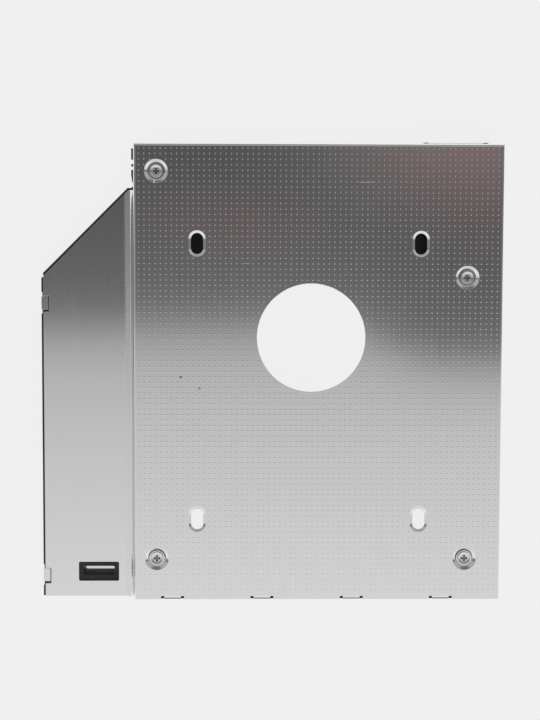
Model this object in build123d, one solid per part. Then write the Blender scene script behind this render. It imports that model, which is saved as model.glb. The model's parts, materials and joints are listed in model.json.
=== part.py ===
from build123d import *
from math import atan2, degrees
import os

os.makedirs("parts", exist_ok=True)

# Laptop drive caddy, in millimetres. It lies with its open drive bay down and its dotted cover up.
# +Z points out of the dotted cover, -Y to the front edge and +Y to the connector end. The origin is the
# middle of the footprint, on the surface that it lies on.

# Overall size
body_length = 126.8
main_width = 102.2
wing_width = 25.8
body_height = 9.5
wing_drop = 4.2
plug_proud = 0.3

# Pressed sheet metal
sheet = 0.5
bend_inner = 0.35
wall_clear = 1.0
corner_relief = 1.0
step_radius = 3.1
step_rise = 0.2
left_lip = 1.4

# Wing outline
wing_front_setback = 0.05
wing_rear_setback = 12.25
wing_cut = 24.1
wing_left_margin = 0.58
wing_cut_margin = 0.72
wing_rear_margin = 0.7
wing_gusset = 0.75
corner_gap_front = 0.8
corner_gap_rear = 0.3

# Round hole in the main plate
hole_radius = 15.0
hole_from_step = 49.05
hole_from_front = 73.3

# Hard drive that the bay takes, and its two rows of bottom screws
drive_width = 69.85
drive_length = 100.2
drive_thickness = 7.0
drive_from_step = 48.4
drive_row_spacing = 61.72
drive_hole_spacing = 76.6
drive_holes_from_rear = 14.0
slot_from_front = 22.65
slot_width = 3.4
slot_length = 5.8
coin_width = 0.7
coin_depth = 0.3

# Cover screws and the dished recesses that they sit in
recess_radius = 3.25
recess_flat_radius = 2.15
recess_depth = 0.8
recess_wall = 0.3
dish_clear = 0.3
screw_head_radius = 1.8
screw_head_height = 0.55
screw_head_bevel = 0.2
screw_radius = 0.95
screw_length = 4.6
screw_hole_radius = 1.15
cross_width = 0.5
cross_length = 2.1
cross_depth = 0.35
thread_clear = 0.05
left_screws_from_step = 6.3
right_screws_from_right = 10.0
front_screws_from_front = 11.5
left_rear_screw_from_rear = 7.75
right_rear_screw_from_rear = 36.8

# Front tabs of the main plate
tab_count = 4
tab_pitch = 25.0
tab_from_step = 10.65
tab_width = 4.7
tab_notch = 0.85
tab_setback = 0.25
tab_inner = 0.1
tab_drop = 3.6
tab_clear = 0.1
tab_end_clear = 0.3

# Spring fingers on the short left wall behind the wing
finger_widths = (1.1, 0.8)
finger_from_rear = (5.25, 7.0)
finger_proud = 0.55
finger_drop = 4.6
finger_bend = 0.7
finger_clear = 0.08
finger_root = 0.2

# Hook tabs of the wing cover and the notches that they close into
hook_length = 3.7
hook_reach = 1.95
hook_corner = 0.15
hook_inner = 0.05
hook_root = 3.0
hook_gap_front = 0.55
hook_gap_rear = 0.08
hook_gap_end = 0.22
hook_clear = 0.1
hook_from_front = (6.05, 82.6)
hook_relief_length = 6.0
hook_relief_depth = 0.3

# Window in the wing sheet, and the latch slot of the frame behind it
window_width = 11.25
window_height = 5.4
window_from_step = 10.2
window_from_front = 7.05
window_corner = 0.4
latch_width = 8.7
latch_height = 2.5
latch_shift = 0.15

# Moulded frame
wall = 1.3
skin = 1.2
rib = 0.9
rib_pitch = 11.0
rib_sink = 0.2
frame_fit = 0.1
skirt_gap = 0.1
drive_clear = 0.3
front_wall = 2.6
roof_from_rear = 34.5
roof_lift = 0.3
rim_setback = 0.05
rim_sink = 0.1
rim_bevel = 0.3
wing_fit = 0.1
wing_wall = 1.9
cover_setback = 0.4
roof_notch_radius = 9.0
roof_notch_offset = 4.95
boss_radius = 3.0
boss_depth = 5.4
edge_chamfer = 0.6
edge_break = 0.5
rear_frame_wall = 1.2
ledge_gap = 0.3
ledge_taper = 3.0
ledge_from_rear = 1.6
ledge_sink = 0.1

# Circuit board
board_thickness = 1.0
board_width = 66.0
board_from_right = 2.0
film = 0.1
peg_radius = 0.9
peg_clear = 0.06
peg_post_radius = 1.5
peg_inset = 1.9
peg_sink = 0.1
board_front_gap = 0.6
board_rear_gap = 0.2
board_side_gap = 0.1
window_frame = 2.0
window_rear_frame = 1.6
board_window_corner = 1.5
socket_room = 0.3

# Drive socket, for the drive's 22 contacts
socket_offset = 9.6
socket_width = 41.0
socket_depth = 6.0
socket_height = 5.0
socket_gap = 0.1
socket_lead_in = 0.7
signal_count = 7
power_count = 15
pin_pitch = 1.27
pin_group_gap = 6.35
pin_width = 0.5
pin_thickness = 0.2
pin_margin = 1.4
cavity_height = 2.1
cavity_depth = 4.6
key_width = 1.2
key_height = 1.0
tail_length = 1.1
leg_gap = 0.1
pin_setback = 0.5

# Slim plug at the rear, for the optical-drive bay's 13 contacts
plug_width = 18.0
plug_from_right = 13.4
plug_depth = 6.6
plug_height = 4.5
plug_tongue = 1.1
plug_cavity_height = 3.3
plug_cavity_depth = 4.4
plug_counts = (7, 6)
plug_pitch = 1.0
plug_group_gap = 2.0
plug_pin_width = 0.45
post_width = 1.6
post_height = 3.2
post_bevel = 0.3
shroud_proud = 0.1
tongue_margin = 0.7
tongue_setback = 0.6
plug_pin_setback = 1.0
plug_opening_clear = 0.6

# Metal anchors that hold each connector to the board
anchor_sheet = 0.3
anchor_length = 2.6
anchor_foot = 0.9
socket_anchor_height = 3.4
socket_anchor_setback = 1.6
plug_anchor_height = 3.0
plug_anchor_setback = 1.0

# Mode slide switch
switch_length = 8.0
switch_depth = 3.6
switch_height = 3.2
switch_shell_sheet = 0.25
switch_shell_lift = 0.3
switch_wall = 0.6
switch_travel = 2.0
switch_clear = 0.1
knob_length = 1.6
knob_depth = 1.5
knob_proud = 1.8
knob_base_length = 2.6
knob_base_height = 1.2
knob_groove_pitch = 0.5
knob_groove = 0.2
switch_from_board_left = 21.0
switch_from_board_rear = 1.3

# Small board components: length, width, height
capacitor_size = (1.6, 0.8, 0.8)
bulk_capacitor_size = (3.2, 1.6, 1.5)
resistor_size = (1.0, 0.5, 0.35)
chip_size = (3.0, 1.6, 1.1)
light_size = (1.6, 0.8, 0.6)
part_pitch = 2.3
bulk_pitch = 3.7
resistor_pitch = 1.3
resistor_row = 0.5
component_row = 2.6
capacitor_count = 3
bulk_capacitor_count = 2
resistor_count = 3
capacitors_from_switch = 6.0
resistors_from_plug = 1.9
chip_leg_pitch = 0.95
chip_leg_width = 0.4
chip_leg_length = 0.6
chip_leg_sheet = 0.25
light_cap = 0.25
chip_from_board_left = 8.0
light_from_board_left = 13.0

# Removable stop block and its foam
stop_clear = 0.15
stop_wall = 1.2
pad_thickness = 1.0
pad_inset = 6.0
pad_clear = 0.2
pad_margin = 1.0
nib_length = 6.0
nib_reach = 0.7
nib_height = 1.6
grip_radius = 6.0
grip_offset = 2.4
grip_depth = 0.6

# Brass thread inserts for the bay's rear bracket
insert_radius = 1.3
insert_bore = 0.8
insert_length = 3.0
insert_spacing = 6.1
insert_from_rear = 3.15
insert_drop = 4.2
insert_clear = 0.03

# Small overrun that lets a cutting block pass through a face
over = 1.0

# Places worked out from the sizes above
left_x = -(main_width + wing_width) / 2
right_x = (main_width + wing_width) / 2
step_x = right_x - main_width
front_y = -(body_length + plug_proud) / 2
rear_y = front_y + body_length
top_z = body_height
inner_z = top_z - sheet
wing_z = top_z - wing_drop
wing_inner_z = wing_z - sheet
wing_front_y = front_y + wing_front_setback
wing_rear_y = rear_y - wing_rear_setback
bend_outer = bend_inner + sheet
strip_z = wing_z + step_radius + step_rise
skirt_z = wall_clear - skirt_gap
drive_x = step_x + drive_from_step
drive_rear_y = front_y + slot_from_front + drive_hole_spacing + drive_holes_from_rear
drive_front_y = drive_rear_y - drive_length
frame_left_x = step_x + sheet + frame_fit
frame_right_x = right_x - sheet - frame_fit
frame_rear_y = rear_y - sheet - frame_fit
bay_left_x = drive_x - drive_width / 2 - drive_clear
bay_right_x = drive_x + drive_width / 2 + drive_clear
bay_front_y = front_y + front_wall
bay_rear_y = drive_rear_y + drive_clear
roof_y = rear_y - roof_from_rear
roof_top_z = inner_z - coin_depth - drive_thickness - roof_lift
board_z = inner_z - film - board_thickness
board_right_x = right_x - board_from_right
board_left_x = board_right_x - board_width
board_front_y = bay_rear_y + board_front_gap
board_rear_y = frame_rear_y - board_rear_gap
socket_x = drive_x + socket_offset
socket_front_y = drive_rear_y + socket_gap
socket_rear_y = socket_front_y + socket_depth
plug_x = right_x - plug_from_right
plug_rear_y = rear_y + plug_proud
plug_front_y = plug_rear_y - plug_depth
stop_front_y = bay_front_y + stop_clear
stop_rear_y = drive_front_y - pad_thickness
ledge_x = step_x - finger_proud
ledge_front_y = wing_rear_y + ledge_gap
ledge_rear_y = rear_y - ledge_from_rear

slot_places = [
    (drive_x + side * drive_row_spacing / 2, front_y + slot_from_front + row * drive_hole_spacing)
    for row in (0, 1)
    for side in (-1, 1)
]
screw_places = [
    (step_x + left_screws_from_step, front_y + front_screws_from_front),
    (right_x - right_screws_from_right, front_y + front_screws_from_front),
    (step_x + left_screws_from_step, rear_y - left_rear_screw_from_rear),
    (right_x - right_screws_from_right, rear_y - right_rear_screw_from_rear),
]
tab_places = [step_x + tab_from_step + n * tab_pitch for n in range(tab_count)]
hook_places = [front_y + distance for distance in hook_from_front]
window_place = (step_x - window_from_step, front_y + window_from_front)


def block(x0, x1, y0, y1, z0, z1):
    """A box between two limits along each axis."""
    return Pos(x0, y0, z0) * Box(x1 - x0, y1 - y0, z1 - z0, align=(Align.MIN, Align.MIN, Align.MIN))


def rod(radius, x, y, z0, z1):
    """An upright round rod."""
    return Pos(x, y, z0) * Cylinder(radius, z1 - z0, align=(Align.CENTER, Align.CENTER, Align.MIN))


def centred(x, y, length, width, z0, z1):
    """A box centred on a point, between two heights."""
    return block(x - length / 2, x + length / 2, y - width / 2, y + width / 2, z0, z1)


def cone(radius_low, radius_high, x, y, z0, z1):
    """An upright cone between two radii."""
    stand = (Align.CENTER, Align.CENTER, Align.MIN)
    return Pos(x, y, z0) * Cone(radius_low, radius_high, z1 - z0, align=stand)


def slot_face(x, y, z, length, width):
    """A round-ended slot, long along Y, as a flat face."""
    return Pos(x, y, z) * (Rot(0, 0, 90) * SlotOverall(length, width))


def bent_section(outside, inside, outer_radius, inner_radius, plane):
    """Section of a folded sheet: its two faces as lines with rounded corners, closed at both ends."""
    outer_line = FilletPolyline(*outside, radius=outer_radius)
    inner_line = FilletPolyline(*inside, radius=inner_radius)
    ends = [Line(outside[0], inside[0]), Line(outside[-1], inside[-1])]
    return plane * make_face(outer_line.edges() + inner_line.edges() + ends)


def section_along_y(outside, inside, outer_radius, inner_radius, y0, y1):
    """A folded strip drawn in X and Z and carried along Y."""
    section = bent_section(outside, inside, outer_radius, inner_radius, Plane.XZ.offset(-y1))
    return extrude(section, y1 - y0)


def section_along_x(outside, inside, outer_radius, inner_radius, x0, x1):
    """A folded strip drawn in Y and Z and carried along X."""
    section = bent_section(outside, inside, outer_radius, inner_radius, Plane.YZ.offset(x0))
    return extrude(section, x1 - x0)


def wing_prism(left, cut, front, rear, x_end, z0, z1):
    """The wing's outline with its cut corner, moved in from each side by its own margin."""
    x_left = left_x + left
    y_rear = wing_rear_y - rear
    slope_y = wing_rear_y - wing_cut - left_x - cut * 2**0.5
    corner_x, corner_y = x_left - over, y_rear + over
    corner = Polyline(
        (corner_x, corner_x + slope_y),
        (corner_y - slope_y, corner_y),
        (corner_x, corner_y),
        close=True,
    )
    body = block(x_left, x_end, wing_front_y + front, y_rear, z0, z1)
    return body - Pos(0, 0, z0) * extrude(make_face(corner), z1 - z0)


def cross_ribs(x0, x1, y0, y1, z0, z1):
    """Ribs across a beam, evenly spaced at about the rib pitch."""
    gaps = max(1, round((y1 - y0) / rib_pitch))
    pitch = (y1 - y0) / gaps
    middles = [y0 + n * pitch for n in range(1, gaps)]
    return [block(x0, x1, y - rib / 2, y + rib / 2, z0, z1) for y in middles]


def long_ribs(x0, x1, y0, y1, z0, z1):
    """Ribs along a beam, evenly spaced at about the rib pitch."""
    gaps = max(1, round((x1 - x0) / rib_pitch))
    pitch = (x1 - x0) / gaps
    middles = [x0 + n * pitch for n in range(1, gaps)]
    return [block(x - rib / 2, x + rib / 2, y0, y1, z0, z1) for x in middles]


def plate_shell():
    """The main plate with its bent walls, as one thin skin open at the front and below."""
    outer = block(step_x, right_x, front_y, rear_y, wall_clear, top_z)
    x0, x1 = step_x + sheet, right_x - sheet
    inner = block(x0, x1, front_y - over, rear_y - sheet, wall_clear - over, inner_z)
    skins = []
    for body, radius in ((outer, bend_outer), (inner, bend_inner)):
        top = body.edges().group_by(Axis.Z)[-1]
        rounded = top.filter_by(Axis.Y) + top.filter_by(Axis.X).sort_by(Axis.Y)[-1:]
        skins.append(fillet(rounded, radius))
    return skins[0] - skins[1]


def wall_cuts():
    """What the plate's walls lack: the left wall above the wing, a front corner and the reliefs."""
    wall_x = step_x + bend_outer
    relief_x, relief_y = right_x - corner_relief, rear_y - corner_relief
    return [
        block(step_x - over, step_x + corner_relief, wing_rear_y, rear_y + over, 0, top_z - left_lip),
        block(step_x - over, wall_x, front_y - over, wing_front_y, 0, inner_z - bend_inner),
        block(step_x - over, wall_x, wing_front_y, wing_rear_y, 0, strip_z),
        block(relief_x, right_x + over, relief_y, rear_y + over, 0, top_z - left_lip),
    ]


def wing_sheet():
    """The step down from the main plate and the flat wing, cut to the wing's outline."""
    edge_x = left_x + wing_left_margin
    outside = [(step_x, strip_z), (step_x, wing_z), (edge_x, wing_z)]
    inside = [(step_x + sheet, strip_z), (step_x + sheet, wing_inner_z), (edge_x, wing_inner_z)]
    strip = section_along_y(outside, inside, step_radius, step_radius + sheet, wing_front_y, wing_rear_y)
    outline = wing_prism(wing_left_margin, wing_cut_margin, 0, wing_rear_margin, step_x + over, 0, top_z)
    return strip & outline


def front_tab(x):
    """One narrow tab, bent down between its two relief notches."""
    face_y = front_y + tab_setback
    root_y = face_y + 3 * sheet
    low_z = top_z - tab_drop
    outside = [(root_y, top_z), (face_y, top_z), (face_y, low_z)]
    inside = [(root_y, inner_z), (face_y + sheet, inner_z), (face_y + sheet, low_z)]
    x0, x1 = x - tab_width / 2, x + tab_width / 2
    return section_along_x(outside, inside, tab_inner + sheet, tab_inner, x0, x1)


def front_notch(x):
    """The strip cut from the plate's front edge for one tab and its two relief notches."""
    half = tab_width / 2 + tab_notch
    depth = tab_setback + tab_inner + sheet
    return block(x - half, x + half, front_y - over, front_y + depth, inner_z - over, top_z + over)


def spring_finger(y, width):
    """A finger that hangs from the left wall, with its middle bowed out to touch the bay's side."""
    root_z = top_z - left_lip + finger_root
    bow_z = root_z - finger_drop / 2
    low_z = root_z - finger_drop
    outside = [(step_x, root_z), (step_x - finger_proud, bow_z), (step_x, low_z)]
    inside = [(x + sheet, z) for x, z in outside]
    outer_bend = finger_bend + sheet
    return section_along_y(outside, inside, outer_bend, finger_bend, y - width / 2, y + width / 2)


def coined_seat(x, y):
    """The slot's rim pressed below the plate: the solid to add under it and the one to cut from above."""
    rim = slot_face(x, y, top_z - coin_depth, slot_length, slot_width)
    slope = degrees(atan2(coin_width, coin_depth))
    cut = extrude(rim, coin_depth, taper=-slope)
    return Pos(0, 0, -sheet) * cut, cut


def screw_recess(x, y):
    """The dish round a cover screw: the solid to add under the plate and the one to cut from above."""
    flat_z = top_z - recess_depth
    low_radius = recess_flat_radius + recess_wall
    added = cone(low_radius, recess_radius + recess_wall, x, y, flat_z - sheet, inner_z)
    cut = cone(recess_flat_radius, recess_radius, x, y, flat_z, top_z)
    return added, cut


def hook_notch(y):
    """The notch in the wing sheet's left edge that one hook closes into."""
    end_x = left_x + hook_reach + hook_gap_end
    y0 = y - hook_length / 2 - hook_gap_front
    y1 = y + hook_length / 2 + hook_gap_rear
    return block(left_x - over, end_x, y0, y1, wing_inner_z - over, top_z)


def window_prism(width, height, shift, z0, z1):
    """A rounded window through the wing at the latch's place, moved to the rear by a shift."""
    x, y = window_place
    face = Pos(x, y + shift, z0) * RectangleRounded(width, height, window_corner)
    return extrude(face, z1 - z0)


def make_under_cover():
    """The dotted sheet: plate, walls, step and wing in one pressing."""
    body = plate_shell() - wall_cuts() + wing_sheet()
    body -= [front_notch(x) for x in tab_places]
    body += [front_tab(x) for x in tab_places]
    body += [spring_finger(rear_y - place, width) for place, width in zip(finger_from_rear, finger_widths)]
    pressed = [coined_seat(x, y) for x, y in slot_places] + [screw_recess(x, y) for x, y in screw_places]
    body += [added for added, _ in pressed]
    body -= [cut for _, cut in pressed]
    for x, y in slot_places:
        body -= extrude(slot_face(x, y, inner_z - over, slot_length, slot_width), 3 * over)
    for x, y in screw_places:
        body -= rod(screw_hole_radius, x, y, inner_z - 2 * over, top_z)
    hole_x, hole_y = step_x + hole_from_step, front_y + hole_from_front
    body -= rod(hole_radius, hole_x, hole_y, inner_z - over, top_z + over)
    body -= [hook_notch(y) for y in hook_places]
    body -= window_prism(window_width, window_height, 0, wing_inner_z - over, wing_z + over)
    body -= plug_opening(rear_y - sheet - over, rear_y + over)
    return body


def plug_opening(y0, y1):
    """The gap in a rear wall that the slim plug stands in."""
    half = plug_width / 2 + plug_opening_clear
    return block(plug_x - half, plug_x + half, y0, y1, wall_clear - over, board_z + film)


def make_wing_cover():
    """The far-side sheet of the wing, with two hooks folded over the wing's edge."""
    plate = wing_prism(sheet, 0, wing_fit, wing_fit, step_x - cover_setback, 0, sheet)
    end_x = left_x + hook_reach
    root_x = left_x + hook_root
    outside = [(root_x, 0), (left_x, 0), (left_x, wing_z), (end_x, wing_z)]
    fold_x = left_x + sheet
    inside = [(root_x, sheet), (fold_x, sheet), (fold_x, wing_inner_z), (end_x, wing_inner_z)]
    for y in hook_places:
        low, high = y - hook_length / 2, y + hook_length / 2
        plate += section_along_y(outside, inside, hook_corner, hook_inner, low, high)
    return plate


def wing_frame():
    """The frame's wing: floor, walls and ribs under the sheet, and the rim that shows beyond its edge."""
    join_x = frame_left_x + over
    body = wing_prism(rim_setback, 0, wing_fit, wing_fit, join_x, sheet, wing_z - rim_sink)
    top_edges = body.edges().group_by(Axis.Z)[-1]
    body = chamfer(top_edges - top_edges.filter_by(Axis.X) - top_edges.filter_by(Axis.Y), rim_bevel)
    seat = (wing_left_margin, wing_cut_margin, -over, wing_rear_margin)
    body -= wing_prism(*seat, join_x + over, wing_inner_z, top_z)
    pocket = wing_prism(wing_wall, wall, wall, wall, step_x - wall, sheet + skin, wing_inner_z)
    limits = (left_x, step_x, wing_front_y, wing_rear_y, sheet, wing_inner_z - rib_sink)
    pocket -= cross_ribs(*limits) + long_ribs(*limits)
    pocket -= centred(*window_place, window_width + 2 * rib, window_height + 2 * rib, sheet, wing_inner_z)
    body -= pocket
    for y in hook_places:
        body -= hook_room(y, hook_relief_length, hook_relief_depth)
        body -= hook_room(y, hook_length + 2 * hook_clear, sheet + hook_clear)
    corner_y = wing_rear_y - wing_cut
    gap = (corner_y - corner_gap_front, corner_y + corner_gap_rear)
    body -= block(left_x - over, left_x + wing_left_margin, *gap, 0, wing_z)
    body -= window_prism(latch_width, latch_height, latch_shift, 0, wing_z)
    return body + step_gusset()


def hook_room(y, length, depth):
    """Room in the wing's edge beside one hook."""
    return block(left_x - over, left_x + depth, y - length / 2, y + length / 2, 0, wing_z)


def step_gusset():
    """The small three-cornered web in the angle between the wing's rear edge and the main body."""
    rear = wing_rear_y - wing_fit
    outline = Polyline(
        (step_x - wing_gusset, rear),
        (frame_left_x + over, rear),
        (frame_left_x + over, rear + wing_gusset),
        (step_x, rear + wing_gusset),
        close=True,
    )
    return Pos(0, 0, sheet) * extrude(make_face(outline), wing_z - rim_sink - sheet)


def main_frame_blank():
    """The main body of the frame as a full block, with its skirt and its side ledge."""
    body = block(frame_left_x, frame_right_x, front_y + frame_fit, frame_rear_y, 0, inner_z)
    top_edges = body.edges().group_by(Axis.Z)[-1]
    rear_edge = top_edges.filter_by(Axis.X).sort_by(Axis.Y)[-1:]
    body = chamfer(top_edges.filter_by(Axis.Y) + rear_edge, edge_break)
    lips = [
        block(x - tab_width / 2, x + tab_width / 2, front_y, front_y + frame_fit, 0, inner_z - frame_fit)
        for x in tab_places
    ]
    skirt = block(step_x, right_x, front_y + frame_fit, rear_y, 0, skirt_z)
    return body + lips + skirt + side_ledge()


def side_ledge():
    """The ledge behind the wing that fills the width to the bay's side, with a slot for each finger."""
    outline = Polyline(
        (frame_left_x, ledge_front_y),
        (step_x, ledge_front_y),
        (ledge_x, ledge_front_y + ledge_taper),
        (ledge_x, ledge_rear_y),
        (frame_left_x, ledge_rear_y),
        close=True,
    )
    ledge = extrude(make_face(outline), top_z - left_lip - ledge_sink)
    for place, width in zip(finger_from_rear, finger_widths):
        half = width / 2 + finger_clear
        y = rear_y - place
        ledge -= block(step_x - over, step_x + sheet, y - half, y + half, skirt_z, top_z)
    return ledge


def bay_cut():
    """The drive bay: a straight opening with a lead-in at its mouth, closed at its rear by the roof."""
    opening = block(bay_left_x, bay_right_x, bay_front_y, bay_rear_y, -over, inner_z + over)
    middle = Pos((bay_left_x + bay_right_x) / 2, (bay_front_y + roof_y) / 2, edge_chamfer)
    mouth_face = middle * Rectangle(bay_right_x - bay_left_x, roof_y - bay_front_y)
    mouth = extrude(mouth_face, -edge_chamfer, taper=-45)
    roof = block(bay_left_x - over, bay_right_x + over, roof_y, bay_rear_y + over, roof_lift, roof_top_z)
    roof -= rod(roof_notch_radius, drive_x, roof_y - roof_notch_offset, -over, inner_z)
    return opening + mouth - roof


def beam_pockets():
    """The hollows of the side and rear beams, open towards the cover, with their ribs left standing."""
    rib_top = inner_z - rib_sink
    left = (frame_left_x + wall, bay_left_x - wall)
    right = (bay_right_x + wall, frame_right_x - wall)
    y0 = front_y + front_wall
    y1 = frame_rear_y - rear_frame_wall
    pockets = []
    for x0, x1, end_y in ((*left, y1), (*right, bay_rear_y - wall)):
        pocket = block(x0, x1, y0, end_y, skin, inner_z)
        pocket -= cross_ribs(x0, x1, y0, end_y, 0, rib_top) + long_ribs(x0, x1, y0, end_y, 0, rib_top)
        pockets.append(pocket)
    x1 = board_left_x - wall
    rear = block(bay_left_x + wall, x1, bay_rear_y + wall, y1, skin, inner_z)
    rear -= long_ribs(bay_left_x + wall, x1, bay_rear_y, y1, 0, rib_top)
    return pockets + [rear]


def board_room():
    """The space for the board and its connectors, with a window through the far skin."""
    y_in = bay_rear_y - over
    x0, x1 = board_left_x - board_side_gap, board_right_x + board_side_gap
    y_out = frame_rear_y - rear_frame_wall
    low = block(board_left_x + wall, board_right_x - wall, y_in, y_out, skin, board_z)
    high = block(x0, x1, y_in, rear_y, board_z, inner_z)
    half = socket_width / 2 + anchor_foot + socket_room
    tails_y = socket_rear_y + tail_length + socket_room
    socket = block(socket_x - half, socket_x + half, y_in, tails_y, skin, inner_z)
    y0 = bay_rear_y + window_frame
    y1 = frame_rear_y - window_rear_frame
    centre = Pos((board_left_x + board_right_x) / 2, (y0 + y1) / 2, -over)
    x_size = board_right_x - board_left_x - 2 * window_frame
    window = extrude(centre * RectangleRounded(x_size, y1 - y0, board_window_corner), skin + 2 * over)
    return [low, high, socket, window]


def peg_places():
    """Where the two locating pegs of the board stand."""
    left = (board_left_x + peg_inset, board_rear_y - peg_inset)
    right = (board_right_x - peg_inset, board_front_y + peg_inset)
    return [left, right]


def board_pegs():
    """Two posts that carry the board and the pegs that locate it."""
    posts = [rod(peg_post_radius, x, y, 0, board_z) for x, y in peg_places()]
    peg_top = board_z + board_thickness - peg_sink
    pegs = [rod(peg_radius, x, y, board_z - over, peg_top) for x, y in peg_places()]
    return posts + pegs


def screw_bosses():
    """The bosses under the cover's recesses, and the room that each dish needs."""
    seat_z = top_z - recess_depth - sheet
    bosses = [rod(boss_radius, x, y, 0, seat_z) for x, y in screw_places]
    hole, low_z = screw_radius + thread_clear, seat_z - boss_depth
    holes = [rod(hole, x, y, low_z, seat_z + over) for x, y in screw_places]
    dish_room = recess_radius + recess_wall + dish_clear
    dishes = [rod(dish_room, x, y, seat_z, inner_z + over) for x, y in screw_places]
    return bosses, holes + dishes


def insert_places():
    """Where the two bracket inserts sit, in the side ledge behind the wing."""
    return [rear_y - insert_from_rear - n * insert_spacing for n in (0, 1)]


def side_rod(radius, y, x0, x1):
    """A round rod that lies along X at the bracket inserts' height."""
    start = Plane.YZ.offset(x0)
    return extrude(start * (Pos(y, top_z - insert_drop) * Circle(radius)), x1 - x0)


def insert_block():
    """Solid material round the bracket inserts, in the left beam."""
    x1 = frame_left_x + insert_length + wall
    y0 = insert_places()[1] - insert_radius - wall
    return block(frame_left_x, x1, y0, frame_rear_y, 0, inner_z - rib_sink)


def stop_pockets(grow):
    """Pockets in the two side beams, or with no growth the nibs that snap into them."""
    y = (stop_front_y + stop_rear_y) / 2
    half = nib_length / 2 + grow
    z0 = inner_z / 2 - nib_height / 2 - grow
    z1 = inner_z / 2 + nib_height / 2 + grow
    reach = nib_reach + stop_clear
    return [
        block(bay_left_x - reach, bay_left_x + over, y - half, y + half, z0, z1),
        block(bay_right_x - over, bay_right_x + reach, y - half, y + half, z0, z1),
    ]


def tab_pockets():
    """Room behind the front lips for the cover's bent tabs."""
    half = tab_width / 2 + tab_notch
    y0 = front_y + tab_setback
    y1 = y0 + sheet + tab_clear
    z0 = top_z - tab_drop - tab_end_clear
    return [block(x - half, x + half, y0, y1, z0, inner_z + over) for x in tab_places]


def make_frame():
    """The moulded frame: two side beams, front wall, rear beam with the board's room, roof and wing."""
    body = main_frame_blank() - beam_pockets() + insert_block()
    bosses, screw_room = screw_bosses()
    body += bosses
    body -= screw_room
    body -= bay_cut()
    body -= board_room()
    body += board_pegs()
    body += wing_frame() - block(frame_left_x, right_x, front_y, rear_y, 0, top_z)
    body -= stop_pockets(stop_clear)
    body -= tab_pockets()
    body -= plug_opening(bay_rear_y + over, rear_y + over)
    hole_end = ledge_x + insert_length
    body -= [side_rod(insert_radius + insert_clear, y, step_x - over, hole_end) for y in insert_places()]
    return body


def make_cover_screws():
    """Four pan-head screws with a cross recess, standing in their dishes."""
    seat_z = top_z - recess_depth
    head_z = seat_z + screw_head_height
    screws = []
    for x, y in screw_places:
        head = rod(screw_head_radius, x, y, seat_z, head_z)
        head = chamfer(head.edges().group_by(Axis.Z)[-1], screw_head_bevel)
        screw = head + rod(screw_radius, x, y, seat_z - screw_length, seat_z)
        for length, width in ((cross_length, cross_width), (cross_width, cross_length)):
            screw -= centred(x, y, length, width, head_z - cross_depth, head_z)
        screws.append(screw)
    return Compound(children=screws)


def make_circuit_board():
    """The bare board, with two holes for its pegs."""
    high_z = board_z + board_thickness
    board = block(board_left_x, board_right_x, board_front_y, board_rear_y, board_z, high_z)
    return board - [rod(peg_radius + peg_clear, x, y, 0, top_z) for x, y in peg_places()]


def make_insulating_sheet():
    """The thin film between the board and the cover."""
    return block(board_left_x, board_right_x, board_front_y, board_rear_y, inner_z - film, inner_z)


def pin_rows(groups, pitch, gap, middle):
    """Pin places along X for groups of pins, each group parted from the next by a gap."""
    spans = [(count - 1) * pitch for count in groups]
    x = middle - (sum(spans) + gap * (len(groups) - 1)) / 2
    rows = []
    for count, span in zip(groups, spans):
        rows.append([x + n * pitch for n in range(count)])
        x += span + gap
    return rows


def socket_rows():
    """Places of the drive socket's pins: power group first, then signal group."""
    return pin_rows((power_count, signal_count), pin_pitch, pin_group_gap, socket_x)


def socket_middle_z():
    """Height of the socket's slots above the resting surface."""
    return board_z - socket_height / 2


def socket_pin(x):
    """One spring contact: a blade in the slot, a leg up the socket's back and a tail on the board."""
    x0, x1 = x - pin_width / 2, x + pin_width / 2
    z1 = socket_middle_z() + cavity_height / 2
    z0 = z1 - pin_thickness
    leg_y = socket_rear_y + leg_gap
    blade = block(x0, x1, socket_front_y + pin_setback, leg_y + pin_thickness, z0, z1)
    leg = block(x0, x1, leg_y, leg_y + pin_thickness, z0, board_z)
    tail = block(x0, x1, leg_y, socket_rear_y + tail_length, board_z - pin_thickness, board_z)
    return blade + leg + tail


def make_drive_socket_contacts():
    """All contacts of the drive socket."""
    return Compound(children=[socket_pin(x) for row in socket_rows() for x in row])


def make_drive_socket_housing():
    """The drive socket: two keyed slots in a block with rounded guide ends."""
    z = socket_middle_z()
    half = socket_width / 2
    low_z = board_z - socket_height
    body = block(socket_x - half, socket_x + half, socket_front_y, socket_rear_y, low_z, board_z)
    body = chamfer(body.edges().filter_by(Axis.Z).group_by(Axis.Y)[0], socket_lead_in)
    mouth = socket_front_y - over
    slot_end = socket_front_y + cavity_depth
    z0, z1 = z - cavity_height / 2, z + cavity_height / 2
    for row in socket_rows():
        x0, x1 = row[0] - pin_margin, row[-1] + pin_margin
        body -= block(x0, x1, mouth, slot_end, z0, z1)
        body -= block(x0, x0 + key_width, mouth, slot_end, z0 - key_height, z0)
        for x in row:
            x0, x1 = x - pin_width / 2, x + pin_width / 2
            body -= block(x0, x1, slot_end, socket_rear_y, z1 - pin_thickness, z1)
    return body


def connector_anchors(x, half, y, low_z):
    """A pair of sheet anchors, one on each end of a connector, with feet on the board."""
    anchors = []
    for side in (-1, 1):
        face = x + side * half
        x0, x1 = sorted((face, face + side * anchor_sheet))
        f0, f1 = sorted((face, face + side * anchor_foot))
        upright = block(x0, x1, y, y + anchor_length, low_z, board_z)
        foot = block(f0, f1, y, y + anchor_length, board_z - anchor_sheet, board_z)
        anchors.append(upright + foot)
    return anchors


def make_drive_socket_anchors():
    """The drive socket's two anchors."""
    y = socket_front_y + socket_anchor_setback
    low_z = board_z - socket_anchor_height
    return Compound(children=connector_anchors(socket_x, socket_width / 2, y, low_z))


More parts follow.
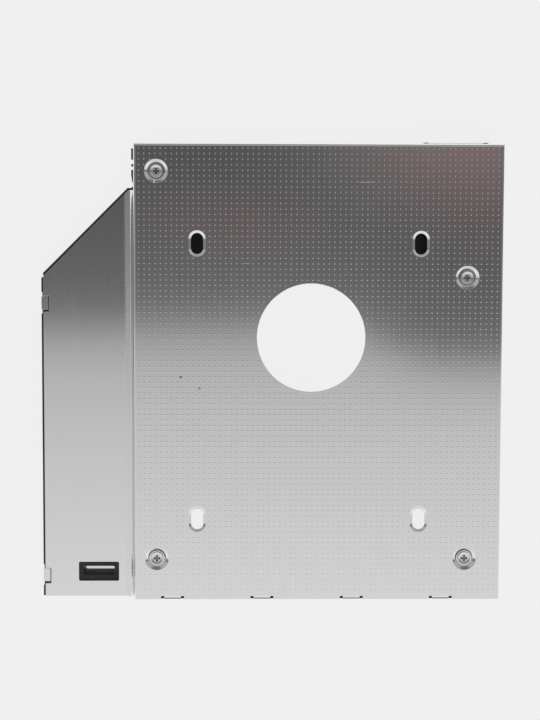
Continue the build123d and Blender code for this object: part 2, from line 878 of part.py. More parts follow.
def plug_rows():
    """Places of the slim plug's pins."""
    return pin_rows(plug_counts, plug_pitch, plug_group_gap, plug_x)


def plug_shroud_y():
    """The rear face of the slim plug's shroud."""
    return rear_y + shroud_proud


def plug_middle_z():
    """Height of the slim plug's tongue."""
    return board_z - plug_height / 2


def make_bay_plug_housing():
    """The slim plug: a shroud open to the rear, a tongue inside and a guide post at each end."""
    z = plug_middle_z()
    half = plug_width / 2
    shroud_y = plug_shroud_y()
    body = block(plug_x - half, plug_x + half, plug_front_y, shroud_y, board_z - plug_height, board_z)
    cavity_half = half - post_width
    cavity_y = shroud_y - plug_cavity_depth
    z0, z1 = z - plug_cavity_height / 2, z + plug_cavity_height / 2
    body -= block(plug_x - cavity_half, plug_x + cavity_half, cavity_y, shroud_y + over, z0, z1)
    z0, z1 = z - plug_tongue / 2, z + plug_tongue / 2
    for row in plug_rows():
        x0, x1 = row[0] - tongue_margin, row[-1] + tongue_margin
        body += block(x0, x1, cavity_y, shroud_y - tongue_setback, z0, z1)
    z0, z1 = z - post_height / 2, z + post_height / 2
    for side in (-1, 1):
        x0, x1 = sorted((plug_x + side * cavity_half, plug_x + side * half))
        post = block(x0, x1, shroud_y - over, plug_rear_y, z0, z1)
        body += chamfer(post.edges().group_by(Axis.Y)[-1].filter_by(Axis.Z), post_bevel)
    for row in plug_rows():
        body -= [plug_pin_channel(x) for x in row]
    return body


def plug_pin_channel(x):
    """The way of one pin through the plug's back wall."""
    z1 = plug_middle_z() + plug_tongue / 2 + pin_thickness
    end_y = plug_shroud_y() - plug_cavity_depth
    half = plug_pin_width / 2
    return block(x - half, x + half, plug_front_y - over, end_y, z1 - pin_thickness, z1)


def plug_pin(x):
    """One flat contact on the tongue, with a leg at the plug's back and a tail on the board."""
    z1 = plug_middle_z() + plug_tongue / 2 + pin_thickness
    z0 = z1 - pin_thickness
    x0, x1 = x - plug_pin_width / 2, x + plug_pin_width / 2
    leg_y = plug_front_y - leg_gap
    blade = block(x0, x1, leg_y - pin_thickness, rear_y - plug_pin_setback, z0, z1)
    leg = block(x0, x1, leg_y - pin_thickness, leg_y, z0, board_z)
    tail = block(x0, x1, plug_front_y - tail_length, leg_y, board_z - pin_thickness, board_z)
    return blade + leg + tail


def make_bay_plug_contacts():
    """All contacts of the slim plug."""
    return Compound(children=[plug_pin(x) for row in plug_rows() for x in row])


def make_bay_plug_anchors():
    """The slim plug's two anchors."""
    y = plug_front_y + plug_anchor_setback
    return Compound(children=connector_anchors(plug_x, plug_width / 2, y, board_z - plug_anchor_height))


def board_part(x, y, size):
    """One small component, lying on the board's component side."""
    length, width, height = size
    return centred(x, y, length, width, board_z - height, board_z)


def component_y():
    """Middle line of the row of small components behind the drive socket."""
    return board_rear_y - component_row


def make_board_capacitors():
    """Three small and two larger capacitors in a row beside the switch."""
    x = switch_place()[0] + capacitors_from_switch
    y = component_y()
    small = [board_part(x + n * part_pitch, y, capacitor_size) for n in range(capacitor_count)]
    x += capacitor_count * part_pitch + (bulk_capacitor_size[0] - capacitor_size[0]) / 2
    large = [board_part(x + n * bulk_pitch, y, bulk_capacitor_size) for n in range(bulk_capacitor_count)]
    return Compound(children=small + large)


def make_board_resistors():
    """Six small resistors in two short rows, beside the slim plug."""
    x = plug_x - plug_width / 2 - resistors_from_plug
    y = component_y()
    columns = [x - n * resistor_pitch for n in range(resistor_count)]
    places = [(column, y + side * resistor_row) for side in (-1, 1) for column in columns]
    return Compound(children=[board_part(px, py, resistor_size) for px, py in places])


def make_regulator_chip():
    """The five-leg regulator: a body with its legs bent down to the board."""
    x = board_left_x + chip_from_board_left
    y = component_y()
    length, width, height = chip_size
    foot_z = board_z - chip_leg_sheet
    body = centred(x, y, length, width, board_z - height, board_z - chip_leg_sheet / 2)
    for side, legs in ((-1, (-1, 0, 1)), (1, (-1, 1))):
        leg_y = y + side * (width + chip_leg_length) / 2
        for n in legs:
            leg_x = x + n * chip_leg_pitch
            body += centred(leg_x, leg_y, chip_leg_width, chip_leg_length, foot_z, board_z)
    return body


def make_status_light():
    """The status light: a base with a clear cap."""
    x = board_left_x + light_from_board_left
    base = board_part(x, component_y(), light_size)
    length, width, height = light_size
    cap = centred(x, component_y(), length / 2, width, board_z - height - light_cap, board_z - height)
    return base + cap


def switch_place():
    """Middle of the mode switch on the board."""
    return board_left_x + switch_from_board_left, board_rear_y - switch_depth / 2 - switch_from_board_rear


def make_switch_case():
    """The switch's plastic base, an open tray that guides the knob."""
    x, y = switch_place()
    length = switch_length - 2 * switch_shell_sheet
    depth = switch_depth - 2 * switch_shell_sheet
    low_z = board_z - switch_height + switch_shell_sheet
    floor_z = low_z + knob_base_height + switch_clear
    body = centred(x, y, length, depth, low_z, board_z)
    return body - centred(x, y, length - 2 * switch_wall, depth - 2 * switch_wall, low_z - over, floor_z)


def make_switch_shell():
    """The folded metal shell round the switch, with the slot that the knob slides in."""
    x, y = switch_place()
    low_z = board_z - switch_height
    length = switch_length - 2 * switch_shell_sheet
    depth = switch_depth - 2 * switch_shell_sheet
    body = centred(x, y, switch_length, switch_depth, low_z, board_z - switch_shell_lift)
    body -= centred(x, y, length, depth, low_z + switch_shell_sheet, board_z)
    slot_length = knob_length + switch_travel + 2 * switch_clear
    return body - centred(x, y, slot_length, knob_depth + 2 * switch_clear, low_z - over, low_z + over)


def make_switch_knob():
    """The switch's knob at its left stop: a base in the tray and a ribbed lever through the slot."""
    x, y = switch_place()
    x -= switch_travel / 2
    low_z = board_z - switch_height
    base_z = low_z + switch_shell_sheet + switch_clear / 2
    base_depth = switch_depth - 2 * (switch_shell_sheet + switch_wall + switch_clear)
    base_top = base_z + knob_base_height - switch_clear / 2
    tip_z = low_z - knob_proud
    base = centred(x, y, knob_base_length, base_depth, base_z, base_top)
    lever = centred(x, y, knob_length, knob_depth, tip_z, base_top)
    middles = [x + n * knob_groove_pitch for n in (-1, 0, 1)]
    end_z = tip_z + knob_groove
    grooves = [centred(middle, y, knob_groove, 2 * knob_depth, tip_z, end_z) for middle in middles]
    return base + lever - grooves


def make_drive_stop():
    """The removable block before the drive: a ribbed tray, with two snap nibs and a finger grip."""
    x0 = bay_left_x + stop_clear
    x1 = bay_right_x - stop_clear
    z0 = roof_lift
    body = block(x0, x1, stop_front_y, stop_rear_y, z0, inner_z)
    low_edges = body.edges().group_by(Axis.Z)[0]
    body = chamfer(low_edges, edge_chamfer)
    y0, y1 = stop_front_y + stop_wall, stop_rear_y - stop_wall
    pocket = block(x0 + stop_wall, x1 - stop_wall, y0, y1, z0 + stop_wall, inner_z)
    pocket -= long_ribs(x0, x1, stop_front_y, stop_rear_y, z0, inner_z - rib_sink)
    body -= pocket
    limit = block(bay_left_x - nib_reach, bay_right_x + nib_reach, front_y, rear_y, 0, inner_z)
    body += [nib & limit for nib in stop_pockets(-stop_clear)]
    return body - rod(grip_radius, drive_x, stop_rear_y + grip_offset, z0 - over, z0 + grip_depth)


def make_stop_pad():
    """The foam strip on the stop block's drive side."""
    y1 = stop_rear_y + pad_thickness - pad_clear
    z0, z1 = skin + pad_margin, inner_z - pad_margin
    return block(bay_left_x + pad_inset, bay_right_x - pad_inset, stop_rear_y, y1, z0, z1)


def make_bracket_inserts():
    """Two brass bushes, pressed into the side ledge behind the wing."""
    x1 = ledge_x + insert_length
    inserts = []
    for y in insert_places():
        bush = side_rod(insert_radius, y, ledge_x, x1)
        inserts.append(bush - side_rod(insert_bore, y, ledge_x - over, x1 + over))
    return Compound(children=inserts)


nodes = {
    "under_cover": make_under_cover,
    "wing_cover": make_wing_cover,
    "frame": make_frame,
    "cover_screws": make_cover_screws,
    "circuit_board": make_circuit_board,
    "insulating_sheet": make_insulating_sheet,
    "drive_socket_housing": make_drive_socket_housing,
    "drive_socket_contacts": make_drive_socket_contacts,
    "drive_socket_anchors": make_drive_socket_anchors,
    "bay_plug_housing": make_bay_plug_housing,
    "bay_plug_contacts": make_bay_plug_contacts,
    "bay_plug_anchors": make_bay_plug_anchors,
    "board_capacitors": make_board_capacitors,
    "board_resistors": make_board_resistors,
    "regulator_chip": make_regulator_chip,
    "status_light": make_status_light,
    "switch_case": make_switch_case,
    "switch_shell": make_switch_shell,
    "switch_knob": make_switch_knob,
    "drive_stop": make_drive_stop,
    "stop_pad": make_stop_pad,
    "bracket_inserts": make_bracket_inserts,
}
for name, make in nodes.items():
    export_step(make(), f"parts/{name}.step")
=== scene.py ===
"""Looks of a laptop drive caddy: a dotted sheet-metal tray over a black moulded frame, with a side wing.

Every length is in metres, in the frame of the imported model. The tray lies with its bay down, so +Z points
out of the dotted sheet, -Y to the front edge and -X to the wing.
"""

import json
import math

import bmesh
import bpy
import numpy as np
from bpy.props import FloatProperty, FloatVectorProperty, IntProperty, PointerProperty
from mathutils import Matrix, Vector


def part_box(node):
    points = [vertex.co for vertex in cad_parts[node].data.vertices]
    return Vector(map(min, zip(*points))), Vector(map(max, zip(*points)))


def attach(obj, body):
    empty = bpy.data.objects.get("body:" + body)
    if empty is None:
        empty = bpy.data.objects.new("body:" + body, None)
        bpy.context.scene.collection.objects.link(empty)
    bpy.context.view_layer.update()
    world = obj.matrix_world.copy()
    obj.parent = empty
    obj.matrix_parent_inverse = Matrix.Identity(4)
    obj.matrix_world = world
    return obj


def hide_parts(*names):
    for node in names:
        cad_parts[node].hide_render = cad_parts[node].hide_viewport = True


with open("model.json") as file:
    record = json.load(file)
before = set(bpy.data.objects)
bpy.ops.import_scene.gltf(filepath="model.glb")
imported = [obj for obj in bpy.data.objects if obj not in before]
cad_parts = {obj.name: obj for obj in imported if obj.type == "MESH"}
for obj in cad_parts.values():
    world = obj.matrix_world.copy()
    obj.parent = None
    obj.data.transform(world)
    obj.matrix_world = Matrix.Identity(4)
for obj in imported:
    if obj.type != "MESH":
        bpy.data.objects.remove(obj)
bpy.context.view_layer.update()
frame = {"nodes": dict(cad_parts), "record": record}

bl_info = {
    "name": "Laptop drive caddy",
    "version": (1, 0, 0),
    "blender": (4, 5, 0),
    "location": "3D View > Sidebar > Caddy",
    "description": "Builds the looks of a laptop drive caddy round its fixed model",
    "category": "Object",
}

BODY = "caddy"
MM = 0.001
SHEET_LOW, SHEET_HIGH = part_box("under_cover")
PAD_LOW, PAD_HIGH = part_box("stop_pad")
INSERT_LOW, INSERT_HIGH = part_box("bracket_inserts")
SCREWS_LOW, SCREWS_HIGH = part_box("cover_screws")

# How close a dot's middle comes to the hole's edge, a slot's middle line and a screw's middle
HOLE_MARGIN = 0.7 * MM
SLOT_MARGIN = 2.9 * MM
SLOT_HALF_STRAIGHT = 1.2 * MM
SCREW_MARGIN = 3.7 * MM

# Roughness of the sheet's faces and what a cut edge, a scuff and the stretched fold add to it
SHEET_GLOSS = 0.07
BURR_GLOSS = 0.4
SCUFF_GLOSS = 0.33
FOLD_GLOSS = 0.08
BURR_METAL = -0.5
# Painted shade for the screws' cross recesses, head sides and shanks below the head's bowl
SCREW_RECESS_SHADE = (0.26, 0.255, 0.25)
SPOT_BLACK = (0.1, 0.1, 0.1)
DUST = (0.45, 0.44, 0.42)
TIN = (0.70, 0.69, 0.66)

# The floor lies just under the tray and glows, so that it shows as the photo's backdrop
FLOOR_DROP = 0.02 * MM
FLOOR_GREY = (0.05, 0.05, 0.05)
FLOOR_LIT = 0.03


def length(name, description, default):
    """A size that the panel shows, in metres."""
    return FloatProperty(name=name, description=description, default=default, unit="LENGTH", precision=5)


def colour(name, description, red, green, blue):
    """A linear colour that the panel shows."""
    shade = (red, green, blue)
    return FloatVectorProperty(
        name=name, description=description, default=shade, subtype="COLOR", size=3, min=0.0, max=1.0
    )


class CaddyStageSettings(bpy.types.PropertyGroup):
    """Camera, floor and studio light."""

    camera_x: length("Camera X", "How far right of the tray's middle the camera stands", -8.5 * MM)
    camera_y: length("Camera Y", "How far behind the tray's middle the camera stands", 43.2 * MM)
    camera_z: length("Camera Z", "How high the camera stands over the floor", 478.0 * MM)
    camera_lens: FloatProperty(name="Lens", description="Focal length in millimetres", default=85.0)
    camera_tilt: FloatProperty(name="Tilt", description="Turn about X, in degrees", default=-4.832)
    camera_pan: FloatProperty(name="Pan", description="Turn about Y, in degrees", default=-0.974)
    camera_roll: FloatProperty(name="Roll", description="Turn about Z, in degrees", default=0.087)
    floor_size: length("Floor size", "Side of the square floor", 6.0)
    floor_colour: colour("Floor", "Brightness of the pale floor", 0.863, 0.863, 0.863)


class CaddySheetSettings(bpy.types.PropertyGroup):
    """The pressed sheet and its raised dots."""

    metal: colour("Sheet", "Colour of the bare sheet", 0.80, 0.80, 0.805)
    main_width: length("Main width", "Width of the dotted plate, without the wing", 102.2 * MM)
    fold_width: length("Fold width", "How far the stretched fold reaches over the wing", 2.25 * MM)
    fold_past: length("Fold past step", "How far it reaches past the step", 0.1 * MM)
    dot_pitch: length("Dot pitch", "Distance between neighbouring dots", 1.5 * MM)
    dot_radius: length("Dot radius", "Radius of one dot's foot", 0.23 * MM)
    dot_height: length("Dot height", "How far one dot stands up", 0.019 * MM)
    dots_from_step: length("Dots from step", "Distance of the first column from the step", 1.48 * MM)
    dots_from_rear: length("Dots from rear", "Distance of the first row from the rear edge", 1.475 * MM)
    dots_across: IntProperty(name="Dots across", description="Number of columns", default=67)
    dots_along: IntProperty(name="Dots along", description="Number of rows", default=83)
    hole_radius: length("Hole radius", "Radius of the round hole", 15.0 * MM)
    hole_from_step: length("Hole from step", "Distance of the hole's middle from the step", 49.05 * MM)
    hole_from_front: length("Hole from front", "Distance of the hole's middle from the front", 73.3 * MM)


class CaddyScrewSettings(bpy.types.PropertyGroup):
    """The four cover screws."""

    metal: colour("Screw", "Colour of the plated screws", 0.74, 0.74, 0.73)
    head_radius: length("Head radius", "Radius of the pan head", 1.8 * MM)
    head_height: length("Head height", "Height of the pan head", 0.55 * MM)
    shank_radius: length("Shank radius", "Radius over the thread", 0.95 * MM)
    thread_depth: length("Thread depth", "Depth of the thread", 0.18 * MM)
    thread_pitch: length("Thread pitch", "Rise of one turn", 0.6 * MM)
    rim_width: length("Rim width", "Width of the head's rounded rim", 0.1 * MM)
    rim_drop: length("Rim drop", "How far the rim falls to the head's side", 0.06 * MM)
    bowl_radius: length("Bowl radius", "Radius of the flat within the head's raised rim", 1.1 * MM)
    bowl_depth: length("Bowl depth", "How far that flat lies under the rim", 0.13 * MM)
    cross_length: length("Cross length", "Span of the cross recess", 1.9 * MM)
    cross_width: length("Cross width", "Width of one arm of the cross", 0.48 * MM)
    cross_depth: length("Cross depth", "Depth of the cross recess", 0.42 * MM)


class CaddyInsertSettings(bpy.types.PropertyGroup):
    """The two brass thread inserts."""

    brass: colour("Brass", "Colour of the inserts", 0.72, 0.50, 0.22)
    bore_radius: length("Bore radius", "Radius over the crests of the inner thread", 0.8 * MM)
    bore_depth: length("Bore depth", "Depth of the inner thread", 0.14 * MM)
    bore_pitch: length("Bore pitch", "Rise of one turn", 0.4 * MM)


class CaddyFoamSettings(bpy.types.PropertyGroup):
    """The foam strip on the stop block."""

    foam: colour("Foam", "Colour of the foam", 0.035, 0.035, 0.037)
    corner: length("Corner", "Radius of the foam's soft corners", 0.35 * MM)
    bulge: length("Bulge", "How far the free face swells between its ends", 0.1 * MM)


class CaddyPlasticSettings(bpy.types.PropertyGroup):
    """Colours of the moulded parts and the board."""

    frame_black: colour("Frame", "Colour of the moulded frame", 0.012, 0.012, 0.013)
    socket_black: colour("Connectors", "Colour of the connector housings", 0.010, 0.010, 0.011)
    knob_white: colour("Knob", "Colour of the switch knob", 0.62, 0.61, 0.58)
    laminate: colour("Board", "Colour of the board's lacquer", 0.010, 0.060, 0.022)
    gold: colour("Contacts", "Colour of the contacts", 0.90, 0.68, 0.30)


def settings(name):
    """One group of settings of the present scene."""
    return getattr(bpy.context.scene, name)


def step_x():
    """Place of the step between the wing and the dotted plate."""
    return SHEET_HIGH.x - settings("caddy_sheet").main_width


# Node helpers


def link(tree, source, target):
    """Joins an output socket to an input socket."""
    tree.links.new(source, target)
    return target


def node(tree, kind, **values):
    """A new node with the given properties."""
    made = tree.nodes.new(kind)
    for name, value in values.items():
        setattr(made, name, value)
    return made


def feed(tree, made, **inputs):
    """Sets or links the inputs of a node by name, with _ for a space."""
    for name, value in inputs.items():
        socket = made.inputs[name.replace("_", " ")]
        if isinstance(value, bpy.types.NodeSocket):
            link(tree, value, socket)
        else:
            socket.default_value = value
    return made


def maths(tree, operation, first, second=0.0, third=None, clamp=False):
    """One arithmetic step."""
    made = node(tree, "ShaderNodeMath", operation=operation, use_clamp=clamp)
    for index, value in enumerate((first, second, third)):
        if value is None:
            continue
        if isinstance(value, bpy.types.NodeSocket):
            link(tree, value, made.inputs[index])
        else:
            made.inputs[index].default_value = value
    return made.outputs[0]


def remap(tree, value, low, high, out_low=0.0, out_high=1.0, smooth=False):
    """A value carried from one range to another, held at both ends."""
    made = node(tree, "ShaderNodeMapRange", interpolation_type="SMOOTHSTEP" if smooth else "LINEAR")
    link(tree, value, made.inputs["Value"])
    ends = ((1, low), (2, high), (3, out_low), (4, out_high))
    for index, end in ends:
        made.inputs[index].default_value = end
    return made.outputs[0]


def blend_colour(tree, share, first, second, mode="MIX"):
    """Two colours blended by a share."""
    made = node(tree, "ShaderNodeMix", data_type="RGBA", blend_type=mode)
    places = ((made.inputs["Factor"], share), (made.inputs[6], first), (made.inputs[7], second))
    for socket, value in places:
        if isinstance(value, bpy.types.NodeSocket):
            link(tree, value, socket)
        elif socket.type == "RGBA":
            socket.default_value = (*value, 1.0) if len(value) == 3 else value
        else:
            socket.default_value = value
    return made.outputs[2]


def new_group(name, inputs, outputs):
    """An empty shader node group with named inputs (name, kind, default) and outputs (name, kind)."""
    tree = bpy.data.node_groups.new(name, "ShaderNodeTree")
    for title, kind, default in inputs:
        socket = tree.interface.new_socket(title, in_out="INPUT", socket_type="NodeSocket" + kind)
        socket.default_value = default
    for title, kind in outputs:
        tree.interface.new_socket(title, in_out="OUTPUT", socket_type="NodeSocket" + kind)
    return tree, tree.nodes.new("NodeGroupInput").outputs, tree.nodes.new("NodeGroupOutput").inputs


def place_group(tree, group, **inputs):
    """Puts a shared group into a material with its own values."""
    made = tree.nodes.new("ShaderNodeGroup")
    made.node_tree = group
    return feed(tree, made, **inputs).outputs


def rolled_grain_group():
    """Fine streaks along Y, as rolling leaves them: a noise drawn out along Y under a finer, even one."""
    tree, given, result = new_group(
        "rolled grain",
        [("Fineness", "Float", 1.0), ("Stretch", "Float", 12.0)],
        [("Tone", "Float"), ("Height", "Float")],
    )
    place = tree.nodes.new("ShaderNodeTexCoord").outputs["Object"]
    scale = node(tree, "ShaderNodeCombineXYZ")
    link(tree, given["Stretch"], scale.inputs[0])
    scale.inputs[1].default_value = 1.0
    scale.inputs[2].default_value = 1.0
    turned = feed(tree, node(tree, "ShaderNodeMapping"), Vector=place, Scale=scale.outputs[0]).outputs[0]
    coarse_scale = maths(tree, "MULTIPLY", given["Fineness"], 90.0)
    coarse = feed(tree, node(tree, "ShaderNodeTexNoise"), Vector=turned, Scale=coarse_scale, Detail=3.0)
    fine_scale = maths(tree, "MULTIPLY", given["Fineness"], 900.0)
    fine = node(tree, "ShaderNodeTexNoise")
    feed(tree, fine, Vector=place, Scale=fine_scale, Detail=4.0, Roughness=0.6)
    both = maths(tree, "ADD", coarse.outputs[0], maths(tree, "MULTIPLY", fine.outputs[0], 0.6))
    link(tree, remap(tree, both, 0.45, 1.15), result["Tone"])
    link(tree, both, result["Height"])
    return tree


def worn_edge_group():
    """Where a surface turns within a small radius: the bevelled normal against the true one."""
    tree, given, result = new_group(
        "worn edge",
        [("Radius", "Float", 0.2 * MM), ("Patchiness", "Float", 0.5)],
        [("Mask", "Float"), ("Normal", "Vector")],
    )
    soft = node(tree, "ShaderNodeBevel", samples=6)
    link(tree, given["Radius"], soft.inputs["Radius"])
    sharp = tree.nodes.new("ShaderNodeNewGeometry").outputs["Normal"]
    turn = node(tree, "ShaderNodeVectorMath", operation="DOT_PRODUCT")
    link(tree, soft.outputs[0], turn.inputs[0])
    link(tree, sharp, turn.inputs[1])
    edge = remap(tree, turn.outputs["Value"], 0.995, 0.85)
    place = tree.nodes.new("ShaderNodeTexCoord").outputs["Object"]
    patch = feed(tree, node(tree, "ShaderNodeTexNoise"), Vector=place, Scale=420.0, Detail=2.0)
    patchy = remap(tree, patch.outputs[0], 0.35, 0.65)
    kept = maths(tree, "SUBTRACT", 1.0, maths(tree, "MULTIPLY", given["Patchiness"], patchy))
    link(tree, maths(tree, "MULTIPLY", edge, kept, clamp=True), result["Mask"])
    link(tree, soft.outputs[0], result["Normal"])
    return tree


def pulled_fold_group():
    """Sheet that was stretched in the press, between two places along X: dull and finely mottled."""
    tree, given, result = new_group(
        "pulled fold",
        [("Start", "Float", 0.0), ("End", "Float", MM)],
        [("Mask", "Float"), ("Height", "Float")],
    )
    place = tree.nodes.new("ShaderNodeTexCoord").outputs["Object"]
    apart = tree.nodes.new("ShaderNodeSeparateXYZ")
    link(tree, place, apart.inputs[0])
    after = maths(tree, "GREATER_THAN", apart.outputs[0], given["Start"])
    before = maths(tree, "LESS_THAN", apart.outputs[0], given["End"])
    inside = maths(tree, "MULTIPLY", after, before)
    mottle = feed(tree, node(tree, "ShaderNodeTexNoise"), Vector=place, Scale=1500.0, Detail=3.0)
    link(tree, inside, result["Mask"])
    link(tree, maths(tree, "MULTIPLY", inside, mottle.outputs[0]), result["Height"])
    return tree


def moulded_grain_group():
    """The fine spark-eroded texture of a moulded surface, with slow changes of gloss."""
    tree, given, result = new_group(
        "moulded grain", [("Fineness", "Float", 1.0)], [("Height", "Float"), ("Gloss", "Float")]
    )
    place = tree.nodes.new("ShaderNodeTexCoord").outputs["Object"]
    fine_scale = maths(tree, "MULTIPLY", given["Fineness"], 3500.0)
    fine = feed(tree, node(tree, "ShaderNodeTexNoise"), Vector=place, Scale=fine_scale, Detail=2.0)
    slow = feed(tree, node(tree, "ShaderNodeTexNoise"), Vector=place, Scale=60.0, Detail=3.0)
    link(tree, fine.outputs[0], result["Height"])
    link(tree, slow.outputs[0], result["Gloss"])
    return tree


def dust_group():
    """Loose specks, gathered where a slow second noise is high."""
    tree, given, result = new_group("dust", [("Amount", "Float", 0.3)], [("Mask", "Float")])
    place = tree.nodes.new("ShaderNodeTexCoord").outputs["Object"]
    specks = feed(tree, node(tree, "ShaderNodeTexNoise"), Vector=place, Scale=1400.0, Detail=1.0)
    film = feed(tree, node(tree, "ShaderNodeTexNoise"), Vector=place, Scale=45.0, Detail=3.0)
    sharp = remap(tree, specks.outputs[0], 0.66, 0.74)
    bright = maths(tree, "MULTIPLY", sharp, remap(tree, film.outputs[0], 0.35, 0.7))
    link(tree, maths(tree, "MULTIPLY", bright, given["Amount"], clamp=True), result["Mask"])
    return tree


def short_mark_group():
    """One straight mark: full along its middle line and nothing past its half length, width and height."""
    tree, given, result = new_group(
        "short mark",
        [
            ("Middle", "Vector", (0, 0, 0)),
            ("Turn", "Vector", (0, 0, 0)),
            ("Half size", "Vector", (MM, 0.1 * MM, 0.1 * MM)),
        ],
        [("Mask", "Float")],
    )
    place = tree.nodes.new("ShaderNodeTexCoord").outputs["Object"]
    near = feed(
        tree,
        node(tree, "ShaderNodeMapping", vector_type="TEXTURE"),
        Vector=place,
        Location=given["Middle"],
        Rotation=given["Turn"],
        Scale=given["Half size"],
    )
    apart = tree.nodes.new("ShaderNodeSeparateXYZ")
    link(tree, near.outputs[0], apart.inputs[0])
    along = remap(tree, maths(tree, "ABSOLUTE", apart.outputs[0]), 0.75, 1.0, 1.0, 0.0)
    across = remap(tree, maths(tree, "ABSOLUTE", apart.outputs[1]), 0.3, 1.0, 1.0, 0.0)
    on_face = maths(tree, "LESS_THAN", maths(tree, "ABSOLUTE", apart.outputs[2]), 1.0)
    across = maths(tree, "MULTIPLY", across, on_face)
    link(tree, maths(tree, "MULTIPLY", along, across, clamp=True), result["Mask"])
    return tree


GROUPS = {
    "rolled_grain": rolled_grain_group,
    "worn_edge": worn_edge_group,
    "pulled_fold": pulled_fold_group,
    "moulded_grain": moulded_grain_group,
    "dust": dust_group,
    "short_mark": short_mark_group,
}


def shared(name):
    """A shared node group, built the first time it is asked for."""
    title = name.replace("_", " ")
    return bpy.data.node_groups.get(title) or GROUPS[name]()


def new_material(name, colour_value, roughness, metallic=0.0):
    """A material with one Principled shader, and its tree."""
    made = bpy.data.materials.new(name)
    made.use_nodes = True
    shader = made.node_tree.nodes["Principled BSDF"]
    feed(made.node_tree, shader, Base_Color=(*colour_value, 1.0), Roughness=roughness, Metallic=metallic)
    return made, made.node_tree, shader


def bump(tree, shader, height, depth, normal=None):
    """Raises a surface by a height map, to the given depth in metres."""
    made = node(tree, "ShaderNodeBump")
    feed(tree, made, Height=height, Distance=depth, Strength=1.0)
    if normal is not None:
        link(tree, normal, made.inputs["Normal"])
    link(tree, made.outputs[0], shader.inputs["Normal"])


SHEET_MARKS = (
    # middle x and y, half length and half width in mm, turn in degrees, and whether it is a scuff (else a spot)
    (26.0, 52.6, 2.8, 0.10, 0.0, True),
    (-7.0, 30.2, 0.9, 0.10, 0.0, True),
    (-25.2, -1.2, 0.36, 0.34, 0.0, False),
    (-20.1, -4.3, 0.42, 0.34, 20.0, False),
)


def sheet_material(name, roughness, edge, marks=(), fold=None):
    """Bare rolled sheet: fine streaks along Y, dull edges, a stretched fold and a few handling marks."""
    look = settings("caddy_sheet")
    made, tree, shader = new_material(name, look.metal, roughness, 1.0)
    grain = place_group(tree, shared("rolled_grain"), Fineness=1.0, Stretch=14.0)
    worn = place_group(tree, shared("worn_edge"), Radius=edge, Patchiness=0.4)
    dark = tuple(0.97 * value for value in look.metal)
    tone = blend_colour(tree, grain["Tone"], dark, tuple(look.metal))
    scuffed = 0.0
    for x, y, half_length, half_width, turn, scuff in marks:
        mark = place_group(
            tree,
            shared("short_mark"),
            Middle=(x * MM, y * MM, SHEET_HIGH.z),
            Turn=(0.0, 0.0, math.radians(turn)),
            Half_size=(half_length * MM, half_width * MM, 0.1 * MM),
        )
        if scuff:
            scuffed = maths(tree, "ADD", mark["Mask"], scuffed)
        else:
            tone = blend_colour(tree, maths(tree, "MULTIPLY", mark["Mask"], 0.95), tone, SPOT_BLACK)
    link(tree, tone, shader.inputs["Base Color"])
    gloss = remap(tree, grain["Tone"], 0.0, 1.0, roughness * 0.85, roughness * 1.15)
    gloss = maths(tree, "MULTIPLY_ADD", scuffed, SCUFF_GLOSS, gloss)
    normal, burr = worn["Normal"], worn["Mask"]
    if fold:
        pulled = place_group(tree, shared("pulled_fold"), Start=fold[0], End=fold[1])
        burr = maths(tree, "MULTIPLY", burr, maths(tree, "SUBTRACT", 1.0, pulled["Mask"]))
        gloss = maths(tree, "MULTIPLY_ADD", pulled["Mask"], FOLD_GLOSS, gloss)
        raised = node(tree, "ShaderNodeBump")
        feed(tree, raised, Height=pulled["Height"], Distance=0.012 * MM, Normal=normal)
        normal = raised.outputs[0]
    link(tree, maths(tree, "MULTIPLY_ADD", burr, BURR_GLOSS, gloss), shader.inputs["Roughness"])
    link(tree, maths(tree, "MULTIPLY_ADD", burr, BURR_METAL, 1.0), shader.inputs["Metallic"])
    bump(tree, shader, grain["Height"], 0.0005 * MM, normal)
    return made


def plain_metal(name, colour_value, roughness, shade_below=None):
    """A small plated part with a fine grain and soft edges, and painted shade below a given height that darkens
    its recesses and sides.
    """
    made, tree, shader = new_material(name, colour_value, roughness, 1.0)
    grain = place_group(tree, shared("rolled_grain"), Fineness=3.0, Stretch=1.5)
    dark = tuple(0.85 * value for value in colour_value)
    tone = blend_colour(tree, grain["Tone"], dark, tuple(colour_value))
    if shade_below is not None:
        apart = tree.nodes.new("ShaderNodeSeparateXYZ")
        link(tree, tree.nodes.new("ShaderNodeTexCoord").outputs["Object"], apart.inputs[0])
        # Below the given height the colour is painted dark as shade in the recess and down the sides
        deep = remap(tree, apart.outputs[2], shade_below, shade_below - 0.08 * MM)
        tone = blend_colour(tree, deep, tone, SCREW_RECESS_SHADE)
    link(tree, tone, shader.inputs["Base Color"])
    gloss = remap(tree, grain["Tone"], 0.0, 1.0, roughness * 0.8, roughness * 1.25)
    link(tree, gloss, shader.inputs["Roughness"])
    worn = place_group(tree, shared("worn_edge"), Radius=0.04 * MM, Patchiness=0.0)
    bump(tree, shader, grain["Height"], 0.002 * MM, worn["Normal"])
    return made


def moulded_plastic(name, colour_value, roughness, edge=0.15 * MM, depth=0.006 * MM):
    """Moulded plastic: eroded texture, gloss that changes slowly, edges lighter from rubbed wear and a painted
    highlight, a little dust.
    """
    made, tree, shader = new_material(name, colour_value, roughness)
    grain = place_group(tree, shared("moulded_grain"), Fineness=1.0)
    worn = place_group(tree, shared("worn_edge"), Radius=edge, Patchiness=0.7)
    dust = place_group(tree, shared("dust"), Amount=0.2)
    # Edges are painted lighter: partly rubbed wear, partly a painted highlight along the rims
    lighter = tuple(min(1.0, value * 2.2 + 0.02) for value in colour_value)
    tone = blend_colour(tree, worn["Mask"], tuple(colour_value), lighter)
    link(tree, blend_colour(tree, dust["Mask"], tone, DUST), shader.inputs["Base Color"])
    low, high = roughness - 0.08, roughness + 0.1
    link(tree, remap(tree, grain["Gloss"], 0.3, 0.7, low, high), shader.inputs["Roughness"])
    bump(tree, shader, grain["Height"], depth, worn["Normal"])
    return made


